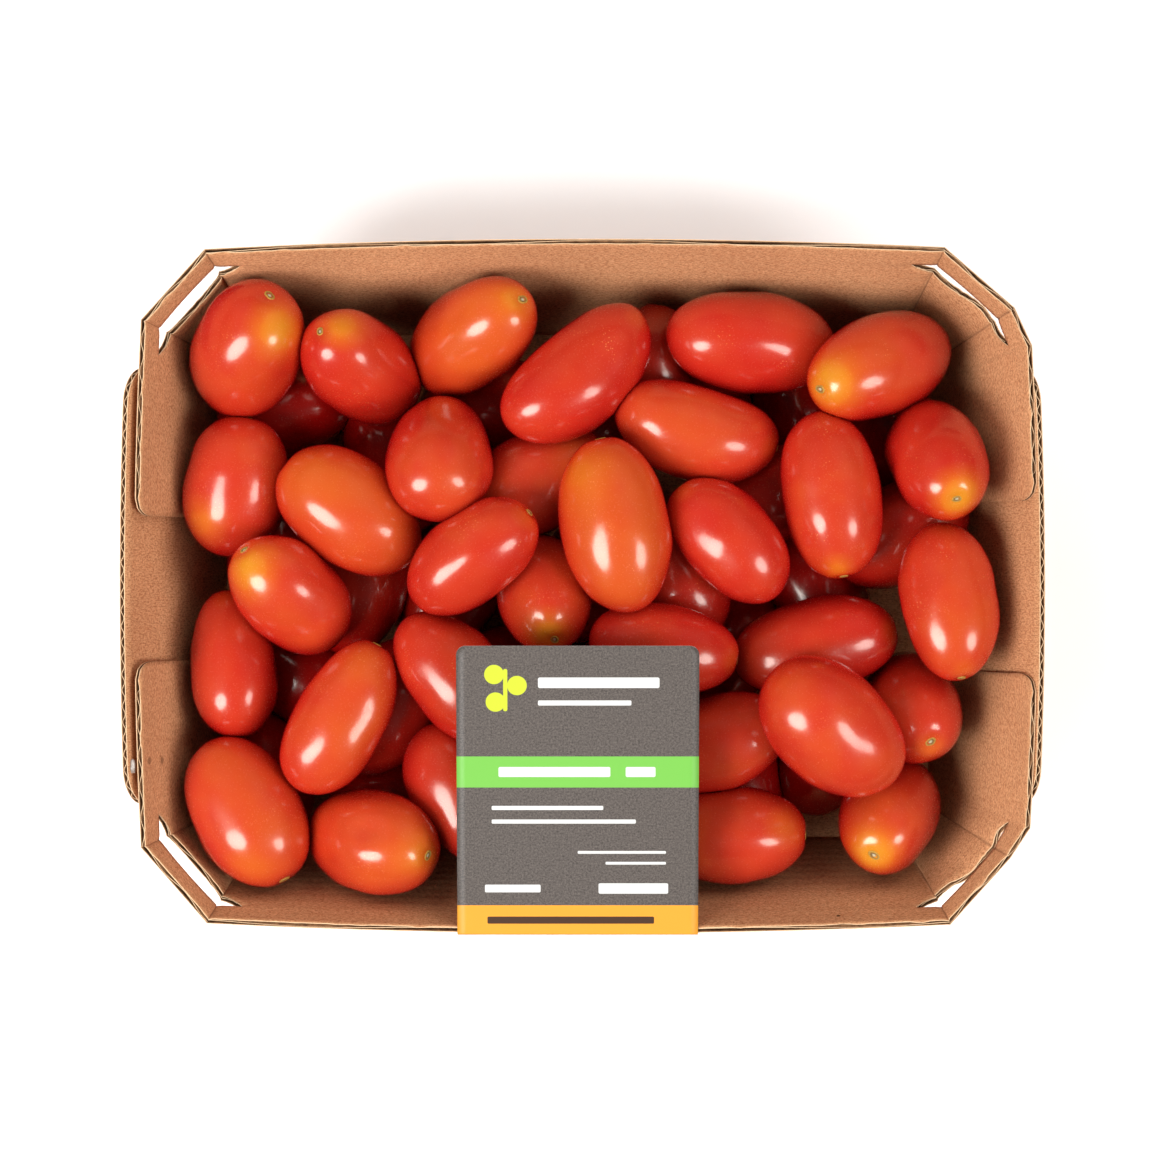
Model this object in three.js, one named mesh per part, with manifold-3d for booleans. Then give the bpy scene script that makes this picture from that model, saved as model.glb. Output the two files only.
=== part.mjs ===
// A punnet of cherry tomatoes: plum-shaped fruit heaped in an open tray folded from one blank of
// corrugated board, with a printed card lying on the fruit and folded over the front rim.
// Millimetres, Z up, X along the tray, Y towards its back; the underside rests on Z = 0.

import * as THREE from "three";
import { mergeVertices } from "three/addons/utils/BufferGeometryUtils.js";
import Module from "manifold-3d";

const wasm = await Module();
wasm.setup();

// ---- driving dimensions ----

const HEIGHT = 48; // of the tray's rim
const BOARD = 1.3; // thickness of the board
const LEVEL_BOARD = 1.38; // the same, measured level through a sloping wall
const BASE_X = 80; // half length of the base
const BASE_Y = 58; // half width of the base
const SIDE_BOW = 2; // how far the long rims bow outwards between their corners
const END_BOW = 1.4;
const CORNER_STEPS = 2;
const SIDE_STEPS = 10;
const END_STEPS = 6;

const PANEL_HALF = 47.5; // half width of an end panel at its top
const PANEL_ROUND = 8; // radius of its top corners
const PANEL_STEPS = 14;
const PANEL_FREE = 0.45; // share of the height from which it may lean away from the flaps
const PANEL_LEAN = { left: 1.8, right: 0 }; // how far its top stands away
const PANEL_BITE = 0.2; // sunk into the flaps, as glued

// The glued flaps' ends across the tray, and their shape: cut back below, round above.
const FLAP_ENDS = { left: [15.2, -16.5], right: [18.5, -19] };
const FLAP_CUT_FROM = HEIGHT / 2;
const FLAP_CUT_BACK = 5.8;
const FLAP_ROUND = [3.8, 6.5]; // along the wall and down it
const FLAP_ROUND_STEPS = 4;

const SLOT_TOP = 41; // height of the upper edge of the corner slots
const SLOT_DEPTH = 6; // at the middle of the corner
const SLOT_RUN = 5.7; // how far a slot runs past the corner's two creases
const SLOT_TIP = 0.5; // its height at the tips
const SLOT_BLUNT = 8; // how evenly deep it stays towards them
const SLOT_ARCH = 0.6; // how far its upper edge rises in the middle
const SLOT_REACH = 7; // the cut's half depth, well through the sloping wall
const SLOT_STEPS = 16;

const CARD_HALF = 26; // half width of the card
const CARD_CENTRE = -0.6;
const CARD_THICK = 0.3;
const CARD_FAR = -12.8; // where the card ends over the fruit
const CARD_DROP = 26; // length that hangs outside the front wall
const CARD_ROUND = 2;
const CARD_ROUND_STEPS = 4;
const CARD_CLEAR = 1.05; // of a fruit's radius, for the swellings of the real ones
const GAP = 0.35; // between the card, the fruit and the tray where they touch

// Corner creases of the rim, seen from above, in order from the back left one clockwise. The right
// hand corners were pushed round a little, so each has one bend more in its glued flap.
const RIM = {
  backLeft: [-81.3, 72.9],
  backRight: [78.8, 73.3],
  rightBackFlap: [93.9, 60.2],
  rightBackBend: [97.7, 52],
  rightFrontBend: [97.3, -52.4],
  rightFrontFlap: [93, -58.9],
  frontRight: [80, -73.3],
  frontLeft: [-80.8, -73],
  leftFrontFlap: [-95.1, -56.6],
  leftBackFlap: [-95.1, 57.6],
};
const BASE_CUT_X = 6.8; // the corner panels' width at the base, along each side
const BASE_CUT_Y = 7.6;
const BASE_BEND = 45;

// The fruit, hand placed from the lowest: x, y, height, heading of the stem end in degrees from X,
// its rise in degrees, length and width. Settling moves them a little from these places.
const FRUIT = [
  [-62, 37, 14, 20, 0, 33, 22],
  [-50, 29, 14, 110, 0, 33, 22],
  [-21, 37, 14, 0, 0, 33, 22],
  [-8, 24, 20, 30, 0, 34, 22],
  [17, 45, 12, 80, 0, 26, 18],
  [-1, 30, 14, 60, 0, 33, 22],
  [38, 21, 17, 20, 0, 33, 22],
  [52, 36, 13, 100, 0, 30, 20],
  [37, 38, 13, 95, 0, 30, 20],
  [-44, -3, 15, 70, 0, 33, 22],
  [-34, -7, 14, 60, 0, 33, 22],
  [-61, -21, 16, 140, 0, 33, 22],
  [-38, -33, 17, 60, 0, 33, 22],
  [-41, -45, 14, 0, 0, 33, 22],
  [-66, -35, 14, 100, 0, 33, 22],
  [48, 3, 17, 110, 0, 33, 22],
  [67, 9, 16, 30, 0, 33, 22],
  [22, -2, 17, 110, 0, 33, 22],
  [35, -12, 12, 60, 0, 33, 22],
  [57, -33, 13, 60, 0, 33, 22],
  [36, -42, 13, 100, 0, 33, 22],
  [10, -20, 14, 40, 0, 33, 22],
  [-2, 7, 16, 70, 0, 33, 22],
  [-20, -10, 14, 20, 0, 33, 22],
  [66, 37, 14, 120, 0, 33, 22],
  [-2, -42, 15, 100, 0, 33, 22],
  [-67, 10, 14, 75, 0, 33, 22],
  [18, -13, 39, -10, 0, 33.5, 19],
  [33, -53.5, 30, 0, 0, 34, 21],
  [71, -27.5, 27, -67, 60, 32, 21],
  [-23.7, 57.3, 28, 34, 43, 37.5, 21.6],
  [-74, 53, 33, 65, 41, 34, 24.5],
  [-47.7, 47, 30, 139, 51, 35, 22],
  [-78.3, 22, 28, 79, 4, 32, 22.6],
  [-29.5, 27.5, 37, 90, -54, 35.3, 22.7],
  [38, 53, 31, 175, 15, 38.5, 23],
  [54.5, 19.9, 38, -81, 6, 37.4, 22.2],
  [64.3, 48, 29, 203, 39, 39.5, 22.2],
  [77.7, 27, 35, -72, 57, 35.5, 21.4],
  [79.5, -2.6, 36, -82, 14, 35.7, 20.8],
  [51.7, -13, 30, 12, 0, 37.3, 20.4],
  [-76.4, -16.8, 29, 96, -10, 33.6, 19.4],
  [-51.6, -29, 37, 62, 0, 36.3, 20.4],
  [-73, -49.5, 33, -60, 12, 35.4, 24.2],
  [-42.3, -56.5, 33, -11, 38, 33.2, 22.5],
  [-25, -20.8, 40, -50, 5, 34, 21],
  [-29.7, -48, 34, -60, 5, 34, 20.4],
  [29.6, -36, 31, 20, 15, 34.5, 21],
  [68.6, -50.6, 26, 240, 54, 33.2, 21.6],
  [-2, -28, 42, 15, 0, 33, 21],
  [4, -52, 34, 100, 0, 33, 21],
  [-8.2, -1.6, 34, -74, 45, 31, 21],
  [-63.2, -1.5, 34, 134, 31, 32.7, 21.6],
  [31.7, 10, 40, 132, -5, 33, 20.2],
  [25.5, 34.5, 34, -15, -8, 37.5, 21.6],
  [-0.5, 46.7, 38, 42, -13, 40, 21.6],
  [-23.5, 6.3, 46, 38, 12, 33, 20],
  [-50.5, 16.6, 37, 143, 1, 35, 23.8],
  [6.8, 13.3, 43, 101, -2, 38.8, 23.2],
  [55.6, -30.5, 44, -42, -15, 36.9, 25.2],
];
const LOWEST = 27; // how many of them lie in the lowest layer, seen only through gaps
const SETTLE_ROUNDS = 60;
const SETTLE_FREE = 10; // last rounds, in which nothing is drawn back to its place
const SQUEEZE = 0.96; // how near two fruit come, for soft skins that press together
const GIVE = { alike: 0.4, lower: 0.65, upper: 0.15 }; // share of an overlap that each of two moves
const DRAW = { lower: [0.05, 0.02], upper: [0.15, 0.1] }; // back to its place, level and upright
const WALL_GAP = 0.7; // from a fruit to a wall, for the facets that stand out of its true skin
const CORNER_WALL = { normal: [0.72, 0.694], distance: 92.2, slope: 1 / 3 }; // a corner panel, as a plane
// The core below the fruit that show: heights, and how far inside the walls.
const CORE = [[BOARD + GAP, 8], [15.4, 12], [22, 18]];
const FACETS = { lowest: [8, 5], upper: [12, 7] }; // a fruit's sides and its levels
const SWELL = 1.03; // flat facets cut inside the true skin, so they stand out by as much
const BLUNT = 2.2; // how blunt a fruit's ends are; 2 is an ellipsoid

// ---- closed meshes and solids ----

// A closed surface through rings of points, each ring with the same number of them.
function skin(rings) {
  const around = rings[0].length;
  const last = (rings.length - 1) * around;
  const faces = [];
  for (let i = 0; i + 1 < rings.length; i++) {
    for (let j = 0; j < around; j++) {
      const a = i * around + j;
      const b = i * around + ((j + 1) % around);
      faces.push(a, b, b + around, a, b + around, a + around);
    }
  }
  for (let j = 1; j + 1 < around; j++) {
    faces.push(0, j + 1, j, last, last + j, last + j + 1);
  }
  const points = rings.flat();
  const turned = (k) => points[faces[k]].dot(points[faces[k + 1]].clone().cross(points[faces[k + 2]]));
  let volume = 0;
  for (let k = 0; k < faces.length; k += 3) {
    volume += turned(k);
  }
  if (volume < 0) {
    faces.reverse();
  }
  return new THREE.BufferGeometry().setFromPoints(points).setIndex(faces);
}

function solid(geometry) {
  const bare = geometry.clone();
  bare.deleteAttribute("normal");
  bare.deleteAttribute("uv");
  const merged = mergeVertices(bare, 1e-4);
  return new wasm.Manifold(
    new wasm.Mesh({
      numProp: 3,
      vertProperties: merged.attributes.position.array,
      triVerts: new Uint32Array(merged.index.array),
    }),
  );
}

// The largest body of a solid, with any hollow that is sealed inside it filled.
function oneBody(manifold) {
  return manifold.decompose().reduce((a, b) => (a.volume() > b.volume() ? a : b));
}

function faceted(manifold) {
  const mesh = manifold.getMesh();
  const geometry = new THREE.BufferGeometry();
  geometry.setAttribute("position", new THREE.BufferAttribute(mesh.vertProperties, 3));
  geometry.setIndex(new THREE.BufferAttribute(mesh.triVerts, 1));
  geometry.computeVertexNormals();
  return geometry;
}

// ---- the tray ----

const mix = (a, b, t) => a + (b - a) * t;

// The walls' panels, each from one crease to the next, at the base and at the rim.
function panels() {
  const x = BASE_X;
  const y = BASE_Y;
  const corner = {
    backLeft: [BASE_CUT_X - x, y],
    backRight: [x - BASE_CUT_X, y],
    rightBackFlap: [x, y - BASE_CUT_Y],
    rightBackBend: [x, BASE_BEND],
    rightFrontBend: [x, -BASE_BEND],
    rightFrontFlap: [x, BASE_CUT_Y - y],
    frontRight: [x - BASE_CUT_X, -y],
    frontLeft: [BASE_CUT_X - x, -y],
    leftFrontFlap: [-x, BASE_CUT_Y - y],
    leftBackFlap: [-x, y - BASE_CUT_Y],
  };
  const names = Object.keys(RIM);
  return names.map((name, i) => {
    const next = names[(i + 1) % names.length];
    const length = Math.hypot(RIM[next][0] - RIM[name][0], RIM[next][1] - RIM[name][1]);
    const side = length > 2 * BASE_Y;
    const end = !side && length > BASE_Y;
    return {
      base: [corner[name], corner[next]],
      rim: [RIM[name], RIM[next]],
      bow: side ? SIDE_BOW : end ? END_BOW : 0,
      steps: side ? SIDE_STEPS : end ? END_STEPS : CORNER_STEPS,
    };
  });
}

// The walls' outline at one height, moved inwards by `inset`.
function outline(height, inset) {
  const rise = height / HEIGHT;
  const loop = [];
  for (const { base, rim, bow, steps } of panels()) {
    const run = [rim[1][0] - rim[0][0], rim[1][1] - rim[0][1]];
    const length = Math.hypot(...run);
    const outwards = [-run[1] / length, run[0] / length];
    for (let i = 0; i < steps; i++) {
      const t = i / steps;
      const bulge = bow * 4 * t * (1 - t);
      const point = [0, 1].map((k) => {
        const top = mix(rim[0][k], rim[1][k], t) + outwards[k] * bulge;
        return mix(mix(base[0][k], base[1][k], t), top, rise);
      });
      loop.push(point);
    }
  }
  return loop.map((point, i) => {
    const before = loop[(i + loop.length - 1) % loop.length];
    const after = loop[(i + 1) % loop.length];
    const run = [after[0] - before[0], after[1] - before[1]];
    const length = Math.hypot(...run);
    return new THREE.Vector3(
      point[0] + (run[1] / length) * inset,
      point[1] - (run[0] / length) * inset,
      height,
    );
  });
}

// How far out an end wall's glued flaps reach at one height, at one place across the tray.
function flapReach(side, y, height) {
  const crease = side > 0 ? RIM.rightBackBend : RIM.leftBackFlap;
  const across = Math.max(0, 1 - (y / crease[1]) ** 2);
  return mix(BASE_X, Math.abs(crease[0]) + END_BOW * across, height / HEIGHT);
}

// The opening between an end's two glued flaps, drawn across the tray: [y, z] up one flap's end and
// down the other's. Their lower corners are cut back and their upper ones are round.
function flapGap(side, [back, front]) {
  const [roundAlong, roundDown] = FLAP_ROUND;
  const above = HEIGHT + 2;
  const shape = new THREE.Shape();
  shape.moveTo(front - FLAP_CUT_BACK, BOARD);
  shape.lineTo(back + FLAP_CUT_BACK, BOARD);
  shape.lineTo(back, FLAP_CUT_FROM);
  shape.lineTo(back, HEIGHT - roundDown);
  shape.quadraticCurveTo(back, HEIGHT, back + roundAlong, HEIGHT);
  shape.lineTo(back + roundAlong, above);
  shape.lineTo(front - roundAlong, above);
  shape.lineTo(front - roundAlong, HEIGHT);
  shape.quadraticCurveTo(front, HEIGHT, front, HEIGHT - roundDown);
  shape.lineTo(front, FLAP_CUT_FROM);
  const depth = BASE_X;
  const cutter = new THREE.ExtrudeGeometry(shape, {
    depth,
    bevelEnabled: false,
    curveSegments: FLAP_ROUND_STEPS,
  });
  // the shape's own X and Y become the tray's Y and Z, and its depth runs along X
  const basis = new THREE.Matrix4().makeBasis(
    new THREE.Vector3(0, 1, 0),
    new THREE.Vector3(0, 0, 1),
    new THREE.Vector3(1, 0, 0),
  );
  cutter.applyMatrix4(basis);
  const middle = (side * 3 * depth) / 4;
  cutter.translate(middle - depth / 2, 0, 0);
  return solid(cutter);
}

// An end panel, outside the glued flaps, with round top corners. `lean` is how far its top stands
// away from the flaps.
function endPanel(side, lean) {
  const rings = [];
  for (let i = 0; i <= PANEL_STEPS; i++) {
    const y = -PANEL_HALF * Math.cos((Math.PI * i) / PANEL_STEPS);
    const into = Math.max(0, Math.abs(y) - (PANEL_HALF - PANEL_ROUND));
    const drop = PANEL_ROUND - Math.sqrt(Math.max(0, PANEL_ROUND ** 2 - into ** 2));
    const levels = [0, HEIGHT * PANEL_FREE, HEIGHT - drop];
    const inner = levels.map((z) => {
      const away = lean * Math.max(0, (z / HEIGHT - PANEL_FREE) / (1 - PANEL_FREE));
      return new THREE.Vector3(side * (flapReach(side, y, z) + away - PANEL_BITE), y, z);
    });
    const outer = inner.map((p) => p.clone().setX(p.x + side * (LEVEL_BOARD + PANEL_BITE)));
    rings.push([...inner, ...outer.reverse()]);
  }
  return solid(skin(rings));
}

// A slot through the wall round one corner, from the long wall into the glued flap, tapering at its
// tips. `path` is its middle line from above: a point on the long wall, the two creases, one on the flap.
function cornerSlot(path) {
  const line = new THREE.CurvePath();
  for (let i = 0; i + 1 < path.length; i++) {
    line.add(new THREE.LineCurve(path[i], path[i + 1]));
  }
  const along = path[path.length - 1].clone().sub(path[0]).normalize();
  const across = new THREE.Vector2(along.y, -along.x).multiplyScalar(SLOT_REACH);
  const rings = [];
  for (let i = 0; i <= SLOT_STEPS; i++) {
    const t = i / SLOT_STEPS;
    const wide = 1 - Math.abs(2 * t - 1) ** SLOT_BLUNT;
    const low = SLOT_TOP - mix(SLOT_TIP, SLOT_DEPTH, wide);
    const high = SLOT_TOP + SLOT_ARCH * wide * (2 * Math.sin(Math.PI * t) - 1);
    const near = line.getPoint(t).sub(across);
    const far = line.getPoint(t).add(across);
    rings.push([
      new THREE.Vector3(near.x, near.y, high),
      new THREE.Vector3(near.x, near.y, low),
      new THREE.Vector3(far.x, far.y, low),
      new THREE.Vector3(far.x, far.y, high),
    ]);
  }
  return solid(skin(rings));
}

function slotPath(sideCrease, flapCrease) {
  const rise = SLOT_TOP / HEIGHT;
  const crease = (rim, base) => new THREE.Vector2(mix(base[0], rim[0], rise), mix(base[1], rim[1], rise));
  const sx = Math.sign(flapCrease[0]);
  const sy = Math.sign(flapCrease[1]);
  const a = crease(sideCrease, [sx * (BASE_X - BASE_CUT_X), sy * BASE_Y]);
  const b = crease(flapCrease, [sx * BASE_X, sy * (BASE_Y - BASE_CUT_Y)]);
  return [
    new THREE.Vector2(a.x - sx * SLOT_RUN, a.y),
    a,
    b,
    new THREE.Vector2(b.x, b.y - sy * SLOT_RUN),
  ];
}

function makeTray() {
  const outside = solid(skin([outline(0, 0), outline(HEIGHT, 0)]));
  const inside = solid(skin([outline(BOARD, LEVEL_BOARD), outline(HEIGHT * 1.1, LEVEL_BOARD)]));
  let tray = outside.subtract(inside);
  tray = tray.subtract(flapGap(-1, FLAP_ENDS.left));
  tray = tray.subtract(flapGap(1, FLAP_ENDS.right));
  tray = tray.subtract(cornerSlot(slotPath(RIM.backLeft, RIM.leftBackFlap)));
  tray = tray.subtract(cornerSlot(slotPath(RIM.backRight, RIM.rightBackFlap)));
  tray = tray.subtract(cornerSlot(slotPath(RIM.frontRight, RIM.rightFrontFlap)));
  tray = tray.subtract(cornerSlot(slotPath(RIM.frontLeft, RIM.leftFrontFlap)));
  return tray.add(endPanel(-1, PANEL_LEAN.left)).add(endPanel(1, PANEL_LEAN.right));
}

// ---- the fruit ----

// Balls along a fruit's axis that together fill it: each one's distance along the axis and radius.
function balls([, , , , , length, width]) {
  const a = length / 2;
  const b = width / 2;
  const span = a * a - b * b;
  return [-1, -0.5, 0, 0.5, 1].map((k) => {
    const along = (k * span) / a;
    return { along, radius: b * Math.sqrt(1 - along ** 2 / span) };
  });
}

function stemAxis([, , , heading, rise]) {
  const h = THREE.MathUtils.degToRad(heading);
  const r = THREE.MathUtils.degToRad(rise);
  return new THREE.Vector3(Math.cos(h) * Math.cos(r), Math.sin(h) * Math.cos(r), Math.sin(r));
}

// The walls' inner faces as planes: a level normal, its distance at the base, and the slope.
function innerWalls() {
  const walls = [];
  for (const s of [1, -1]) {
    const end = s > 0 ? RIM.rightBackBend : RIM.leftBackFlap;
    walls.push({ n: [s, 0], base: BASE_X - BOARD, slope: (Math.abs(end[0]) + END_BOW - BASE_X) / HEIGHT });
    walls.push({ n: [0, s], base: BASE_Y - BOARD, slope: (RIM.backLeft[1] + SIDE_BOW / 2 - BASE_Y) / HEIGHT });
    for (const t of [1, -1]) {
      const [nx, ny] = CORNER_WALL.normal;
      walls.push({ n: [s * nx, t * ny], base: CORNER_WALL.distance - BOARD, slope: CORNER_WALL.slope });
    }
  }
  return walls;
}

// The fruit's middles once none presses into another or into the tray: pairs are pushed apart, round
// after round, while each is drawn gently back to its place.
function settle() {
  const home = FRUIT.map(([x, y, z]) => new THREE.Vector3(x, y, z));
  const middle = home.map((p) => p.clone());
  const chain = FRUIT.map((row) => {
    const axis = stemAxis(row);
    return balls(row).map((ball) => ({ offset: axis.clone().multiplyScalar(ball.along), radius: ball.radius }));
  });
  const walls = innerWalls();
  const between = new THREE.Vector3();
  const push = new THREE.Vector3();
  for (let round = 0; round < SETTLE_ROUNDS; round++) {
    for (let i = 0; i < middle.length; i++) {
      for (let j = i + 1; j < middle.length; j++) {
        let deepest = 0;
        for (const a of chain[i]) {
          for (const b of chain[j]) {
            between.copy(middle[i]).add(a.offset).sub(middle[j]).sub(b.offset);
            const depth = (a.radius + b.radius) * SQUEEZE - between.length();
            if (depth > deepest) {
              deepest = depth;
              push.copy(between).normalize();
            }
          }
        }
        const apart = i < LOWEST && j >= LOWEST;
        middle[i].addScaledVector(push, deepest * (apart ? GIVE.lower : GIVE.alike));
        middle[j].addScaledVector(push, -deepest * (apart ? GIVE.upper : GIVE.alike));
      }
    }
    middle.forEach((p, i) => {
      for (const ball of chain[i]) {
        const z = p.z + ball.offset.z;
        p.z += Math.max(0, BOARD + GAP + ball.radius - z);
        for (const { n, base, slope } of walls) {
          const tilt = Math.atan(slope);
          const out = n[0] * (p.x + ball.offset.x) + n[1] * (p.y + ball.offset.y);
          const room = (base + (p.z + ball.offset.z) * slope - out) * Math.cos(tilt) - WALL_GAP;
          const depth = Math.max(0, ball.radius - room) * 0.8;
          p.x -= n[0] * depth * Math.cos(tilt);
          p.y -= n[1] * depth * Math.cos(tilt);
          p.z += depth * Math.sin(tilt);
        }
      }
      if (round < SETTLE_ROUNDS - SETTLE_FREE) {
        const [level, upright] = i < LOWEST ? DRAW.lower : DRAW.upper;
        p.x = mix(p.x, home[i].x, level);
        p.y = mix(p.y, home[i].y, level);
        p.z = mix(p.z, home[i].z, upright);
      }
    });
  }
  return middle;
}

// One fruit, turned about its long axis, with blunt ends and few sides.
function fruit(row, middle, [sides, levels]) {
  const [, , , , , length, width] = row;
  const profile = [];
  for (let i = 0; i <= levels; i++) {
    const t = -Math.cos((Math.PI * i) / levels);
    const r = i % levels ? (width / 2) * SWELL * Math.sqrt(1 - Math.abs(t) ** BLUNT) : 0;
    profile.push(new THREE.Vector2(r, (length / 2) * t));
  }
  const geometry = new THREE.LatheGeometry(profile, sides);
  const turn = new THREE.Quaternion().setFromUnitVectors(new THREE.Vector3(0, 1, 0), stemAxis(row));
  geometry.applyQuaternion(turn);
  geometry.translate(middle.x, middle.y, middle.z);
  return solid(geometry);
}

function makeTomatoes(middles) {
  let heap = solid(skin(CORE.map(([height, inset]) => outline(height, inset))));
  FRUIT.forEach((row, i) => {
    heap = heap.add(fruit(row, middles[i], i < LOWEST ? FACETS.lowest : FACETS.upper));
  });
  return oneBody(heap);
}

// ---- the card ----

// The steepest line from the front rim that clears every fruit under the card.
function cardSlope(middles, hingeY, hingeZ) {
  let slope = 0;
  FRUIT.forEach((row, i) => {
    const axis = stemAxis(row);
    for (const ball of balls(row)) {
      const x = middles[i].x + axis.x * ball.along - CARD_CENTRE;
      const y = middles[i].y + axis.y * ball.along - hingeY;
      const z = middles[i].z + axis.z * ball.along - hingeZ;
      const beside = Math.max(0, Math.abs(x) - CARD_HALF);
      const past = Math.max(0, y + hingeY - CARD_FAR);
      const reach = ball.radius * CARD_CLEAR + GAP;
      if (beside < reach && past === 0) {
        const radius = Math.sqrt(reach ** 2 - beside ** 2);
        const touch = Math.atan2(z, y) + Math.asin(Math.min(1, radius / Math.hypot(y, z)));
        slope = Math.max(slope, touch);
      }
    }
  });
  return slope;
}

function makeCard(middles) {
  const rim = Math.abs(RIM.frontRight[1]) + SIDE_BOW;
  const wall = (z) => -mix(BASE_Y, rim, z / HEIGHT) - GAP;
  const outer = wall(HEIGHT);
  const hingeZ = HEIGHT + GAP;
  const slope = cardSlope(middles, outer, hingeZ);
  const reach = (CARD_FAR - outer) / Math.cos(slope);
  const place = (along) => [outer + along * Math.cos(slope), hingeZ + along * Math.sin(slope)];
  const path = [
    [wall(HEIGHT - CARD_DROP), HEIGHT - CARD_DROP, 0],
    [outer, hingeZ, 0],
  ];
  for (let i = 0; i <= CARD_ROUND_STEPS; i++) {
    const a = (Math.PI / 2) * (i / CARD_ROUND_STEPS);
    path.push([...place(reach - CARD_ROUND * (1 - Math.sin(a))), CARD_ROUND * (1 - Math.cos(a))]);
  }
  const rings = path.map(([y, z, narrow], i) => {
    const half = CARD_HALF - narrow;
    // the card's thickness stands outwards from the wall below the fold, and upwards past it
    const turn = i === 0 ? Math.PI : i === 1 ? 0.75 * Math.PI : Math.PI / 2 + slope;
    const ny = Math.cos(turn) * CARD_THICK * (i === 1 ? Math.SQRT2 : 1);
    const nz = Math.sin(turn) * CARD_THICK * (i === 1 ? Math.SQRT2 : 1);
    return [
      new THREE.Vector3(CARD_CENTRE - half, y, z),
      new THREE.Vector3(CARD_CENTRE + half, y, z),
      new THREE.Vector3(CARD_CENTRE + half, y + ny, z + nz),
      new THREE.Vector3(CARD_CENTRE - half, y + ny, z + nz),
    ];
  });
  return solid(skin(rings));
}

// ---- the assembly ----

function named(name, manifold, color, roughness) {
  const material = new THREE.MeshStandardMaterial({ color, roughness, metalness: 0, flatShading: true });
  const mesh = new THREE.Mesh(faceted(manifold), material);
  mesh.name = name;
  return mesh;
}

const middles = settle();
const punnet = new THREE.Group();
punnet.name = "punnet";
punnet.add(named("tray", makeTray(), 0xb98663, 0.9));
punnet.add(named("tomatoes", makeTomatoes(middles), 0xd3301c, 0.25));
punnet.add(named("card", makeCard(middles), 0x6b6764, 0.6));

export default punnet;
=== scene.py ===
"""The looks of a punnet of cherry tomatoes: plum-shaped fruit in an open tray of fluted board, with a
printed card over the front rim. Metres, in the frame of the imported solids."""

import math
import random
from collections import namedtuple

import bmesh
import bpy
import numpy as np
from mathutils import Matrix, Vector, noise
from mathutils.bvhtree import BVHTree


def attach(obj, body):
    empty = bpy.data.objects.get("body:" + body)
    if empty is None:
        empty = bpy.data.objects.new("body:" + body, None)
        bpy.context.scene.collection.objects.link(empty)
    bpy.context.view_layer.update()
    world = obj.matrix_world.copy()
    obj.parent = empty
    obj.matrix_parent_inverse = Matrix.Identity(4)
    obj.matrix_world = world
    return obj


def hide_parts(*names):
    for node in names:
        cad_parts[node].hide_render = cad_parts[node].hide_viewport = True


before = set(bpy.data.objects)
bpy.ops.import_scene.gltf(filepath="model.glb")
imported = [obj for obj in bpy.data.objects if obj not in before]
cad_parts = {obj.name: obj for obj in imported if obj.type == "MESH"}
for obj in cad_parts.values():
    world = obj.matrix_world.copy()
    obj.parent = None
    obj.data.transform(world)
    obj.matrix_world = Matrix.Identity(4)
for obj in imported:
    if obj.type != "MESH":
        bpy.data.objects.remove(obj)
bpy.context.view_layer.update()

MM = 0.001

# ---- driving dimensions, in millimetres ----

HEIGHT = 48.0  # of the rim
BOARD = 1.3
LEVEL_BOARD = BOARD * 1.06  # the board measured level through a sloping wall
LINER = 0.2  # each of the two outer sheets of the board
MEDIUM = 0.15  # the fluted sheet between them
FLUTE = 3.46  # from one flute to the next
BASE_X, BASE_Y = 80.0, 58.0  # half length and width of the base
SIDE_BOW, END_BOW = 2.0, 1.4  # how far the rims bow outwards

PANEL_HALF, PANEL_ROUND = 47.5, 8.0  # half width of an end panel and its round top corners
PANEL_FREE = 0.45  # share of the height above which an end panel may lean away
PANEL_LEAN = {-1: 1.8, 1: 0.0}

SLOT_TOP, SLOT_DEPTH, SLOT_RUN, SLOT_TIP = 41.0, 6.0, 5.7, 0.5
FLAP_GAP = {-1: (15.2, -16.5), 1: (18.5, -19.0)}  # where the glued flaps end, back and front

CARD_HALF, CARD_CENTRE, CARD_THICK = 26.0, -0.6, 0.3
CARD_FAR, CARD_DROP, CARD_ROUND = -12.8, 26.0, 2.0
CARD_NEAR = 0.12  # between the card and the outside of the wall
GAP = 0.35  # between the card, the fruit and the tray where they touch

# Corner creases of the rim seen from above, clockwise from the back left one.
RIM = {
    "back_left": (-81.3, 72.9),
    "back_right": (78.8, 73.3),
    "right_back_flap": (93.9, 60.2),
    "right_back_bend": (97.7, 52.0),
    "right_front_bend": (97.3, -52.4),
    "right_front_flap": (93.0, -58.9),
    "front_right": (80.0, -73.3),
    "front_left": (-80.8, -73.0),
    "left_front_flap": (-95.1, -56.6),
    "left_back_flap": (-95.1, 57.6),
}
CUT_X, CUT_Y, BASE_BEND = 6.8, 7.6, 45.0  # the base's cut corners, and where its ends' flaps bend


def base_corner(name):
    """The corner of the base below a corner of the rim."""
    place = (BASE_X - CUT_X, BASE_Y)
    if name.endswith("flap"):
        place = (BASE_X, BASE_Y - CUT_Y)
    if name.endswith("bend"):
        place = (BASE_X, BASE_BEND)
    return tuple(math.copysign(size, towards) for size, towards in zip(place, RIM[name]))


BASE = {name: base_corner(name) for name in RIM}

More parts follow.
